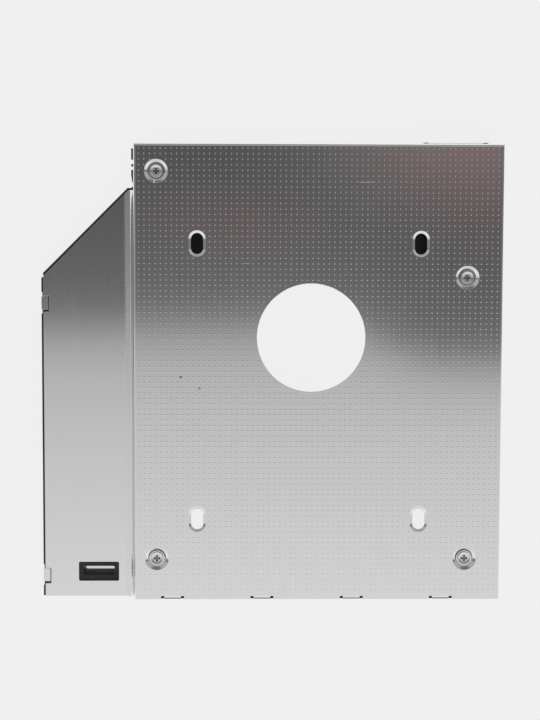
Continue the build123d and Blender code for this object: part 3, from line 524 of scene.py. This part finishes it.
def laminate_material():
    """Board lacquer over copper: narrow tracks stand out as slightly raised, lighter lines."""
    look = settings("caddy_plastic")
    made, tree, shader = new_material("board lacquer", look.laminate, 0.28)
    place = tree.nodes.new("ShaderNodeTexCoord").outputs["Object"]
    turned = feed(tree, node(tree, "ShaderNodeMapping"), Vector=place, Scale=(1.0, 0.25, 1.0))
    cells = node(tree, "ShaderNodeTexVoronoi", distance="CHEBYCHEV", feature="F1")
    feed(tree, cells, Vector=turned.outputs[0], Scale=520.0, Randomness=0.55)
    tracks = remap(tree, cells.outputs["Distance"], 0.30, 0.36, 0.0, 1.0, True)
    lighter = tuple(min(1.0, value * 1.9 + 0.004) for value in look.laminate)
    grain = place_group(tree, shared("moulded_grain"), Fineness=0.4)
    tone = blend_colour(tree, tracks, lighter, tuple(look.laminate))
    cloudy = blend_colour(tree, grain["Gloss"], tone, tuple(0.8 * value for value in look.laminate))
    link(tree, cloudy, shader.inputs["Base Color"])
    link(tree, remap(tree, grain["Gloss"], 0.3, 0.7, 0.22, 0.36), shader.inputs["Roughness"])
    bump(tree, shader, tracks, 0.015 * MM)
    return made


def film_material():
    """Clear insulating film with slight ripples."""
    made, tree, shader = new_material("clear film", (0.82, 0.82, 0.80), 0.2)
    place = tree.nodes.new("ShaderNodeTexCoord").outputs["Object"]
    ripple = feed(tree, node(tree, "ShaderNodeTexNoise"), Vector=place, Scale=150.0, Detail=2.0)
    link(tree, remap(tree, ripple.outputs[0], 0.3, 0.7, 0.45, 0.62), shader.inputs["Alpha"])
    link(tree, remap(tree, ripple.outputs[0], 0.3, 0.7, 0.14, 0.3), shader.inputs["Roughness"])
    bump(tree, shader, ripple.outputs[0], 0.02 * MM)
    return made


def ceramic_material(name, colour_value, roughness=0.45):
    """A small fired or moulded component body with faint speckle."""
    made, tree, shader = new_material(name, colour_value, roughness)
    place = tree.nodes.new("ShaderNodeTexCoord").outputs["Object"]
    speckle = feed(tree, node(tree, "ShaderNodeTexNoise"), Vector=place, Scale=5200.0, Detail=3.0)
    share = remap(tree, speckle.outputs[0], 0.35, 0.65)
    dark = tuple(0.7 * value for value in colour_value)
    link(tree, blend_colour(tree, share, dark, tuple(colour_value)), shader.inputs["Base Color"])
    link(tree, remap(tree, share, 0.0, 1.0, roughness - 0.1, roughness + 0.1), shader.inputs["Roughness"])
    bump(tree, shader, speckle.outputs[0], 0.01 * MM)
    return made


def foam_material():
    """Open-cell foam: small pits of several sizes, painted darker inside as shade and lighter on their rims."""
    look = settings("caddy_foam")
    made, tree, shader = new_material("cell foam", look.foam, 0.95)
    place = tree.nodes.new("ShaderNodeTexCoord").outputs["Object"]
    cells = feed(tree, node(tree, "ShaderNodeTexVoronoi"), Vector=place, Scale=2600.0)
    pits = remap(tree, cells.outputs["Distance"], 0.1, 0.6)
    # The pits are painted darker as shade and their raised rims lighter, following the bump
    lighter = tuple(min(1.0, value * 2.4) for value in look.foam)
    link(tree, blend_colour(tree, pits, tuple(look.foam), lighter), shader.inputs["Base Color"])
    link(tree, remap(tree, pits, 0.0, 1.0, 0.85, 0.98), shader.inputs["Roughness"])
    bump(tree, shader, pits, 0.12 * MM)
    return made


def studio_world():
    """The studio as a sky: a soft panel to the front, dim over the camera, half bright to the rear."""
    world = bpy.data.worlds.new("studio")
    bpy.context.scene.world = world
    world.use_nodes = True
    tree = world.node_tree
    tree.nodes.clear()
    direction = tree.nodes.new("ShaderNodeTexCoord").outputs["Generated"]
    apart = tree.nodes.new("ShaderNodeSeparateXYZ")
    link(tree, direction, apart.inputs[0])
    x, y, z = apart.outputs
    rightward = remap(tree, x, 0.055, 0.125, 0.0, 0.026, True)
    later = maths(tree, "MULTIPLY", rightward, remap(tree, y, -0.13, -0.07))
    share = maths(tree, "MULTIPLY_ADD", maths(tree, "ADD", y, later), 0.5, 0.5)
    ramp = tree.nodes.new("ShaderNodeValToRGB")
    link(tree, share, ramp.inputs[0])
    fill_ramp(ramp.color_ramp, panel_steps())
    side = maths(tree, "MULTIPLY_ADD", ramp.outputs[0], SIDE_SHARE, SIDE_LIFT)
    beside = remap(tree, maths(tree, "ABSOLUTE", x), 0.22, 0.6, 0.0, 1.0, True)
    sky = blend_colour(tree, beside, ramp.outputs[0], side)
    for middle, reach, factor in SKY_PATCHES:
        sky = blend_colour(tree, sky_patch(tree, x, y, middle, reach), sky, factor, "MULTIPLY")
    low = remap(tree, z, 0.02, -0.05)
    sky = blend_colour(tree, low, sky, (0.95, 0.95, 0.95))
    seen = tree.nodes.new("ShaderNodeLightPath").outputs["Is Camera Ray"]
    shown = blend_colour(tree, seen, sky, tuple(settings("caddy_stage").floor_colour))
    background = feed(tree, tree.nodes.new("ShaderNodeBackground"), Color=shown, Strength=1.0)
    output = tree.nodes.new("ShaderNodeOutputWorld")
    link(tree, background.outputs[0], output.inputs[0])


# Where the lit panel and the dim ceiling begin and end, as sines of the angle from straight up to the front
PANEL_FAR = 0.34
PANEL_NEAR = 0.078
CEILING_NEAR = 0.053
CEILING_FAR = -0.04
# Their brightness at those places, and the power of the distance from the edge by which it changes
PANEL_BRIGHT = 0.96
PANEL_DIM = 0.49
CEILING_BRIGHT = 0.18
CEILING_DIM = 0.10
LIGHT_POWER = 0.62
# How many steps draw the panel, the soft edge and the ceiling
PANEL_STEPS = 8
EDGE_STEPS = 5
CEILING_STEPS = 5
# What lies beyond them: sine of the angle from straight up, towards the rear, and the brightness there
FRONT_STEPS = ((-1.00, 0.70), (-0.60, 1.00))
REAR_STEPS = (
    (0.100, 0.120),
    (0.180, 0.420),
    (0.420, 0.420),
    (0.700, 0.400),
    (0.820, 0.190),
    (0.952, 0.170),
    (0.968, 0.900),
    (1.000, 1.000),
)
# How far out to the sides the panel's contrast shrinks, and what lifts it there
SIDE_SHARE = 0.82
SIDE_LIFT = 0.13
SKY_PATCHES = (
    # middle and reach of each overhead patch in X and Y, and what it multiplies the sky by
    ((0.130, 0.065), (0.150, 0.085), (1.60, 1.60, 1.60)),
    ((0.165, 0.050), (0.140, 0.085), (1.33, 1.00, 1.00)),
    ((-0.005, -0.003), (0.070, 0.024), (1.22, 1.00, 1.00)),
)


def panel_steps():
    """Brightness of the sky from front to rear: a lit panel whose soft edge gives way to a dim ceiling.

    Out from the edge, each changes with a power of the distance. Within it the brightness follows
    3s^2 - 2s^3, with s the share of the edge that is still to cross.
    """
    panel = (np.arange(PANEL_STEPS, 0, -1) / PANEL_STEPS) ** 2
    across = np.linspace(1.0, 0.0, EDGE_STEPS)
    ceiling = (np.arange(1, CEILING_STEPS + 1) / CEILING_STEPS) ** 2
    slopes = np.concatenate((
        PANEL_NEAR + (PANEL_FAR - PANEL_NEAR) * panel,
        CEILING_NEAR + (PANEL_NEAR - CEILING_NEAR) * across,
        CEILING_NEAR + (CEILING_FAR - CEILING_NEAR) * ceiling,
    ))
    values = np.concatenate((
        PANEL_DIM + (PANEL_BRIGHT - PANEL_DIM) * panel ** LIGHT_POWER,
        CEILING_BRIGHT + (PANEL_DIM - CEILING_BRIGHT) * across ** 2 * (3.0 - 2.0 * across),
        CEILING_BRIGHT + (CEILING_DIM - CEILING_BRIGHT) * ceiling ** LIGHT_POWER,
    ))
    return (*FRONT_STEPS, *zip((-slopes).tolist(), values.tolist()), *REAR_STEPS)


def fill_ramp(ramp, steps):
    """Puts brightness steps at their angles into a colour ramp."""
    while len(ramp.elements) < len(steps):
        ramp.elements.new(0.5)
    for element, (slope, value) in zip(ramp.elements, steps):
        element.position = slope * 0.5 + 0.5
        element.color = (value, value, value, 1.0)


def sky_patch(tree, x, y, middle, reach):
    """A soft oval lobe about a direction: full within three tenths of its reach, nothing at its reach."""
    across = maths(tree, "DIVIDE", maths(tree, "SUBTRACT", x, middle[0]), reach[0])
    along = maths(tree, "DIVIDE", maths(tree, "SUBTRACT", y, middle[1]), reach[1])
    squared = maths(tree, "MULTIPLY_ADD", across, across, maths(tree, "MULTIPLY", along, along))
    return remap(tree, maths(tree, "SQRT", squared), 0.3, 1.0, 1.0, 0.0, True)


# Mesh helpers


def grid_quads(rows, columns, wrap=False):
    """Quads of a grid of points, joined end to start round each row if it wraps."""
    steps = columns if wrap else columns - 1
    row, column = np.meshgrid(np.arange(rows - 1), np.arange(steps), indexing="ij")
    right = (column + 1) % columns
    here, above = row * columns, (row + 1) * columns
    return np.stack((here + column, here + right, above + right, above + column), -1).reshape(-1, 4)


def make_piece(name, points, faces, material, slot):
    """A mesh from arrays of points and faces, with its material, carried by the caddy."""
    mesh = bpy.data.meshes.new(name)
    mesh.from_pydata(points.reshape(-1, 3), [], faces.tolist())
    mesh.polygons.foreach_set("use_smooth", np.full(len(mesh.polygons), True))
    mesh.materials.append(material)
    mesh.update()
    piece = bpy.data.objects.new(name, mesh)
    bpy.context.scene.collection.objects.link(piece)
    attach(piece, BODY)
    return piece


def repeat(points, faces, places):
    """One small shape set down at many places: its points shifted, its faces renumbered."""
    every = points[None, :, :] + places[:, None, :]
    shift = (np.arange(len(places)) * len(points))[:, None, None]
    return every.reshape(-1, 3), (faces[None, :, :] + shift).reshape(-1, faces.shape[1])


def slot_distance(x, y, middle, half_straight):
    """Distance from the middle line of a slot that is long along Y."""
    beyond = np.maximum(np.abs(y - middle[1]) - half_straight, 0.0)
    return np.hypot(x - middle[0], beyond)


def drive_slots():
    """Middle of each drive slot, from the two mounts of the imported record."""
    found = []
    for mount in frame["record"]["mounts"]:
        if mount["name"].startswith("drive_slots"):
            half = mount["dims"]["spacing_y_mm"] * MM / 2
            x, y = mount["pos_m"][:2]
            found += [(x, y - half), (x, y + half)]
    return found


def screw_middles():
    """Middle of each cover screw, from the solid's own points: one in each quarter of the plate."""
    mesh = frame["nodes"]["cover_screws"].data
    points = np.zeros(len(mesh.vertices) * 3, np.float32)
    mesh.vertices.foreach_get("co", points)
    points = points.reshape(-1, 3).astype(float)
    middle_x = (SCREWS_LOW.x + SCREWS_HIGH.x) / 2
    found = []
    for rear in (False, True):
        for right in (False, True):
            own = points[((points[:, 0] > middle_x) == right) & ((points[:, 1] > 0) == rear)]
            found.append((own[:, :2].max(0) + own[:, :2].min(0)) / 2)
    return found


def dot_places():
    """The square field of dots, less those in the hole, the slots' rims and the screws' dishes."""
    look = settings("caddy_sheet")
    x = step_x() + look.dots_from_step + look.dot_pitch * np.arange(look.dots_across)
    y = SHEET_HIGH.y - look.dots_from_rear - look.dot_pitch * np.arange(look.dots_along)
    x, y = (axis.ravel() for axis in np.meshgrid(x, y))
    hole_x = step_x() + look.hole_from_step
    hole_y = SHEET_LOW.y + look.hole_from_front
    keep = np.hypot(x - hole_x, y - hole_y) > look.hole_radius + HOLE_MARGIN
    for middle in drive_slots():
        keep &= slot_distance(x, y, middle, SLOT_HALF_STRAIGHT) > SLOT_MARGIN
    for middle in screw_middles():
        keep &= np.hypot(x - middle[0], y - middle[1]) > SCREW_MARGIN
    return np.stack([x[keep], y[keep], np.full(keep.sum(), SHEET_HIGH.z)], -1)


def dot_shape(radius, height, around=8):
    """One dot: height times (1 - r squared) squared over a round foot, on two rings and a tip."""
    rings = np.array([1.0, 0.55])
    angle = np.arange(around) * 2 * np.pi / around
    ring_x = radius * rings[:, None] * np.cos(angle)
    ring_y = radius * rings[:, None] * np.sin(angle)
    ring_z = np.broadcast_to((height * (1 - rings**2) ** 2)[:, None], ring_x.shape)
    points = np.concatenate([np.stack([ring_x, ring_y, ring_z], -1).reshape(-1, 3), [[0, 0, height]]])
    quads = grid_quads(2, around, wrap=True)
    sides = np.concatenate([quads[:, [0, 1, 2]], quads[:, [0, 2, 3]]])
    here = np.arange(around)
    tip = np.stack([around + here, around + (here + 1) % around, np.full(around, 2 * around)], -1)
    return points, np.concatenate([sides, tip])


def screw_surface(look, seat_z, tip_z):
    """One screw as a turned profile: a head with a shallow bowl, a rim that falls by the power 2.2 of the
    way into it, a pressed cross, and a thread cut as a running groove."""
    around = 96
    angle = np.arange(around) * 2 * np.pi / around
    top = np.linspace(0.02, 1.0, 34) * look.head_radius
    into_rim = np.clip((top - look.head_radius + look.rim_width) / look.rim_width, 0.0, 1.0)
    bowl_slope = look.head_radius - look.rim_width - look.bowl_radius
    up_bowl = np.clip((top - look.bowl_radius) / bowl_slope, 0.0, 1.0)
    crown = look.head_height - look.bowl_depth * (1 - up_bowl) - look.rim_drop * into_rim**2.2
    rows_r = [top, np.full(3, look.head_radius), np.linspace(0.98, 0.5, 4) * look.head_radius]
    rows_z = [seat_z + crown, seat_z + np.linspace(0.4, 0.04, 3) * look.head_height, np.full(4, seat_z)]
    profile_r, profile_z = np.concatenate(rows_r), np.concatenate(rows_z)
    x = profile_r[:, None] * np.cos(angle)
    y = profile_r[:, None] * np.sin(angle)
    z = np.broadcast_to(profile_z[:, None], x.shape).copy()
    on_top = np.arange(len(profile_r)) < len(top)
    z -= np.where(on_top[:, None], cross_depth(x, y, look), 0.0)
    head = np.stack([x, y, z], -1)
    turns = np.linspace(seat_z, tip_z, 70)
    phase = turns[:, None] / look.thread_pitch + angle / (2 * np.pi)
    groove = np.abs((phase % 1.0) - 0.5) * 2
    taper = np.clip((turns - tip_z) / (1.2 * MM), 0.0, 1.0)[:, None]
    radius = look.shank_radius * (0.45 + 0.55 * taper) - look.thread_depth * groove * taper
    height = np.broadcast_to(turns[:, None], radius.shape)
    shank = np.stack([radius * np.cos(angle), radius * np.sin(angle), height], -1)
    cap = np.broadcast_to(np.array([0.0, 0.0, tip_z]), (1, around, 3))
    crown_cap = np.broadcast_to(np.array([0.0, 0.0, head[0, :, 2].mean()]), (1, around, 3))
    surface = np.concatenate([crown_cap, head, shank, cap])
    return surface.reshape(-1, 3), grid_quads(len(surface), around, wrap=True)


def cross_depth(x, y, look):
    """Depth of the cross recess at each point: two arms with sloping flanks, deepest in the middle."""
    arm_half = look.cross_width / 2
    reach = look.cross_length / 2
    depth = 0.0
    for along, across in ((np.abs(x), np.abs(y)), (np.abs(y), np.abs(x))):
        flank = np.clip((arm_half * 1.2 - across) / (arm_half * 0.4), 0.0, 1.0)
        end = np.clip((reach - along) / (reach * 0.4), 0.0, 1.0)
        depth = np.maximum(depth, flank * end)
    return look.cross_depth * depth


def insert_surface(look, low, high, middle_y, middle_z, outer):
    """One insert: a knurled outside, flat ends and a bore whose radius runs as a helical groove."""
    around = 64
    angle = np.arange(around) * 2 * np.pi / around
    along = np.linspace(low, high, 60)
    phase = along[:, None] / look.bore_pitch + angle / (2 * np.pi)
    groove = look.bore_depth * np.abs((phase % 1.0) - 0.5) * 2
    bore = look.bore_radius + groove
    knurl = outer - 0.05 * MM * (np.abs(np.sin(angle * 12))[None, :] ** 0.5) * np.ones((8, 1))
    rings = np.concatenate([bore, knurl, bore[:1]])
    places = np.concatenate([along, np.linspace(high, low, 8), along[:1]])
    x = np.broadcast_to(places[:, None], rings.shape)
    points = np.stack([x, middle_y + rings * np.cos(angle), middle_z + rings * np.sin(angle)], -1)
    return points.reshape(-1, 3), grid_quads(len(points), around, wrap=True)


def foam_surface(look, low, high):
    """A long block with rounded sides: a superellipse section along X, with a swell between its ends."""
    around, along = 48, 90
    angle = np.arange(around) * 2 * np.pi / around
    power = 0.28
    across = np.sign(np.cos(angle)) * np.abs(np.cos(angle)) ** power
    upward = np.sign(np.sin(angle)) * np.abs(np.sin(angle)) ** power
    share = np.linspace(0.0, 1.0, along)
    end = np.minimum(share, 1 - share) * (high.x - low.x) / look.corner
    shrink = np.where(end < 1, np.sqrt(np.clip(1 - (1 - end) ** 2, 0.0, 1.0)), 1.0)
    swell = look.bulge * np.sin(np.pi * share)
    half_y = (high.y - low.y) / 2
    half_z = (high.z - low.z) / 2
    x = np.broadcast_to((low.x + share * (high.x - low.x))[:, None], (along, around))
    inset_y = half_y - look.corner * (1 - shrink)[:, None]
    inset_z = half_z - look.corner * (1 - shrink)[:, None]
    half_bulge = look.bulge / 2
    outward = (swell[:, None] - half_bulge) * (across > 0)
    y = (low.y + high.y) / 2 + across * (inset_y - half_bulge) + outward
    z = (low.z + high.z) / 2 + upward * inset_z
    body = np.stack([x, y, z], -1)
    first = np.broadcast_to(body[:1].mean(1, keepdims=True), (1, around, 3))
    last = np.broadcast_to(body[-1:].mean(1, keepdims=True), (1, around, 3))
    surface = np.concatenate([first, body, last])
    return surface.reshape(-1, 3), grid_quads(len(surface), around, wrap=True)


def weld(piece):
    """Merges the points of a piece that share a place, and turns its faces outwards."""
    mesh = bmesh.new()
    mesh.from_mesh(piece.data)
    bmesh.ops.remove_doubles(mesh, verts=mesh.verts, dist=1e-7)
    bmesh.ops.recalc_face_normals(mesh, faces=mesh.faces)
    mesh.to_mesh(piece.data)
    mesh.free()


def paint(name, material):
    """Gives a carried-over solid its material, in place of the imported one."""
    for slot in frame["nodes"][name].material_slots:
        slot.material = material


class CADDY_OT_stage(bpy.types.Operator):
    """Set up the camera, the floor and the studio light"""

    bl_idname = "caddy.stage"
    bl_label = "Stage"

    def execute(self, context):
        look = settings("caddy_stage")
        context.scene.view_settings.view_transform = "Standard"
        camera = bpy.data.objects.new("camera", bpy.data.cameras.new("camera"))
        context.scene.collection.objects.link(camera)
        camera.location = (look.camera_x, look.camera_y, look.camera_z)
        camera.rotation_mode = "ZYX"
        turns = (look.camera_tilt, look.camera_pan, look.camera_roll)
        camera.rotation_euler = [math.radians(turn) for turn in turns]
        camera.data.lens = look.camera_lens
        context.scene.camera = camera
        studio_world()
        self.floor(context, look)
        return {"FINISHED"}

    def floor(self, context, look):
        """A square floor just under the tray, bright from above and clear from below."""
        half = look.floor_size / 2
        corners = np.array([[-half, -half, 0], [half, -half, 0], [half, half, 0], [-half, half, 0]], float)
        mesh = bpy.data.meshes.new("floor")
        mesh.from_pydata(corners - [0, 0, FLOOR_DROP], [], [(0, 1, 2, 3)])
        floor = bpy.data.objects.new("floor", mesh)
        context.scene.collection.objects.link(floor)
        made, tree, shader = new_material("pale floor", FLOOR_GREY, 0.9)
        glow = tuple(value - FLOOR_LIT for value in look.floor_colour)
        seen = tree.nodes.new("ShaderNodeLightPath").outputs["Is Camera Ray"]
        link(tree, blend_colour(tree, seen, (1.0, 1.0, 1.0), glow), shader.inputs["Emission Color"])
        feed(tree, shader, Emission_Strength=1.0)
        clear = tree.nodes.new("ShaderNodeBsdfTransparent")
        choose = tree.nodes.new("ShaderNodeMixShader")
        link(tree, tree.nodes.new("ShaderNodeNewGeometry").outputs["Backfacing"], choose.inputs[0])
        link(tree, shader.outputs[0], choose.inputs[1])
        link(tree, clear.outputs[0], choose.inputs[2])
        link(tree, choose.outputs[0], tree.nodes["Material Output"].inputs[0])
        mesh.materials.append(made)


class CADDY_OT_sheets(bpy.types.Operator):
    """Finish the two pressed sheets"""

    bl_idname = "caddy.sheets"
    bl_label = "Pressed sheets"

    def execute(self, context):
        look = settings("caddy_sheet")
        fold = (step_x() - look.fold_width, step_x() + look.fold_past)
        paint("under_cover", sheet_material("pressed sheet", SHEET_GLOSS, 0.13 * MM, SHEET_MARKS, fold))
        paint("wing_cover", sheet_material("wing sheet", SHEET_GLOSS, 0.05 * MM))
        return {"FINISHED"}


class CADDY_OT_dots(bpy.types.Operator):
    """Raise the field of dots on the main plate"""

    bl_idname = "caddy.dots"
    bl_label = "Raised dots"

    def execute(self, context):
        look = settings("caddy_sheet")
        points, faces = repeat(*dot_shape(look.dot_radius, look.dot_height), dot_places())
        metal = sheet_material("dotted sheet", SHEET_GLOSS, 0.02 * MM)
        make_piece("cover_dots", points, faces, metal, "plate_metal")
        return {"FINISHED"}


class CADDY_OT_screws(bpy.types.Operator):
    """Build the four cover screws with their heads, crosses and threads"""

    bl_idname = "caddy.screws"
    bl_label = "Cover screws"

    def execute(self, context):
        look = settings("caddy_screw")
        seat_z = SCREWS_HIGH.z - look.head_height
        points, faces = screw_surface(look, seat_z, SCREWS_LOW.z)
        places = np.array([(x, y, 0.0) for x, y in screw_middles()])
        # Below the head's bowl, the cross recess, the head's side and the shank get painted shade
        metal = plain_metal("plated screw", look.metal, 0.22, SCREWS_HIGH.z - look.bowl_depth - 0.04 * MM)
        piece = make_piece("cover_screw_set", *repeat(points, faces, places), metal, "screw_metal")
        weld(piece)
        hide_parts("cover_screws")
        return {"FINISHED"}


class CADDY_OT_inserts(bpy.types.Operator):
    """Build the two brass inserts with their knurl and inner thread"""

    bl_idname = "caddy.inserts"
    bl_label = "Thread inserts"

    def execute(self, context):
        look = settings("caddy_insert")
        outer = (INSERT_HIGH.z - INSERT_LOW.z) / 2
        middle_z = (INSERT_HIGH.z + INSERT_LOW.z) / 2
        meshes = [
            insert_surface(look, INSERT_LOW.x, INSERT_HIGH.x, y, middle_z, outer)
            for y in (INSERT_LOW.y + outer, INSERT_HIGH.y - outer)
        ]
        points = np.concatenate([own for own, _ in meshes])
        faces = np.concatenate([meshes[0][1], meshes[1][1] + len(meshes[0][0])])
        metal = plain_metal("brass", look.brass, 0.3)
        piece = make_piece("bracket_insert_pair", points, faces, metal, "insert_brass")
        weld(piece)
        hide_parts("bracket_inserts")
        return {"FINISHED"}


class CADDY_OT_foam(bpy.types.Operator):
    """Shape the foam strip on the stop block"""

    bl_idname = "caddy.foam"
    bl_label = "Foam strip"

    def execute(self, context):
        look = settings("caddy_foam")
        points, faces = foam_surface(look, PAD_LOW, PAD_HIGH)
        piece = make_piece("stop_foam", points, faces, foam_material(), "foam")
        weld(piece)
        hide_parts("stop_pad")
        return {"FINISHED"}


class CADDY_OT_plastics(bpy.types.Operator):
    """Finish the moulded frame, stop block, connector housings and switch"""

    bl_idname = "caddy.plastics"
    bl_label = "Moulded parts"

    def execute(self, context):
        look = settings("caddy_plastic")
        frame_black = moulded_plastic("frame plastic", look.frame_black, 0.5)
        fine = {"edge": 0.06 * MM, "depth": 0.003 * MM}
        housing = moulded_plastic("connector plastic", look.socket_black, 0.42, **fine)
        for name in ("frame", "drive_stop"):
            paint(name, frame_black)
        for name in ("drive_socket_housing", "bay_plug_housing", "switch_case"):
            paint(name, housing)
        fine["edge"] = 0.05 * MM
        paint("switch_knob", moulded_plastic("knob plastic", look.knob_white, 0.4, **fine))
        return {"FINISHED"}


class CADDY_OT_board(bpy.types.Operator):
    """Finish the circuit board, its film, contacts and small components"""

    bl_idname = "caddy.board"
    bl_label = "Circuit board"

    def execute(self, context):
        look = settings("caddy_plastic")
        paint("circuit_board", laminate_material())
        paint("insulating_sheet", film_material())
        gold = plain_metal("contact metal", look.gold, 0.22)
        for name in ("drive_socket_contacts", "bay_plug_contacts"):
            paint(name, gold)
        tin = plain_metal("tinned sheet", TIN, 0.34)
        for name in ("drive_socket_anchors", "bay_plug_anchors", "switch_shell"):
            paint(name, tin)
        paint("board_capacitors", ceramic_material("capacitor body", (0.30, 0.20, 0.12)))
        paint("board_resistors", ceramic_material("resistor body", (0.018, 0.018, 0.020)))
        paint("regulator_chip", ceramic_material("chip body", (0.014, 0.014, 0.015), 0.5))
        paint("status_light", ceramic_material("light lens", (0.70, 0.72, 0.62), 0.25))
        return {"FINISHED"}


class CADDY_PT_panel(bpy.types.Panel):
    """Sizes, colours and steps of the caddy"""

    bl_idname = "CADDY_PT_panel"
    bl_label = "Laptop drive caddy"
    bl_space_type = "VIEW_3D"
    bl_region_type = "UI"
    bl_category = "Caddy"

    def draw(self, context):
        for title, group, operators in SECTIONS:
            box = self.layout.box()
            box.label(text=title)
            own = settings(group)
            for name in own.__annotations__:
                box.prop(own, name)
            for operator in operators:
                box.operator(operator.bl_idname)


SECTIONS = (
    ("Stage", "caddy_stage", (CADDY_OT_stage,)),
    ("Sheets", "caddy_sheet", (CADDY_OT_sheets, CADDY_OT_dots)),
    ("Screws", "caddy_screw", (CADDY_OT_screws,)),
    ("Inserts", "caddy_insert", (CADDY_OT_inserts,)),
    ("Foam", "caddy_foam", (CADDY_OT_foam,)),
    ("Plastics and board", "caddy_plastic", (CADDY_OT_plastics, CADDY_OT_board)),
)
SETTING_GROUPS = {
    "caddy_stage": CaddyStageSettings,
    "caddy_sheet": CaddySheetSettings,
    "caddy_screw": CaddyScrewSettings,
    "caddy_insert": CaddyInsertSettings,
    "caddy_foam": CaddyFoamSettings,
    "caddy_plastic": CaddyPlasticSettings,
}
OPERATORS = tuple(operator for _, _, own in SECTIONS for operator in own)


def register():
    """Adds the classes and the settings to Blender."""
    for own in (*SETTING_GROUPS.values(), *OPERATORS, CADDY_PT_panel):
        bpy.utils.register_class(own)
    for name, own in SETTING_GROUPS.items():
        setattr(bpy.types.Scene, name, PointerProperty(type=own))


def unregister():
    """Takes the classes and the settings away again."""
    for name in SETTING_GROUPS:
        delattr(bpy.types.Scene, name)
    for own in (CADDY_PT_panel, *reversed(OPERATORS), *SETTING_GROUPS.values()):
        bpy.utils.unregister_class(own)


def main():
    """Builds every piece in order."""
    register()
    for operator in OPERATORS:
        group, name = operator.bl_idname.split(".")
        getattr(getattr(bpy.ops, group), name)()


if __name__ == "__main__":
    main()
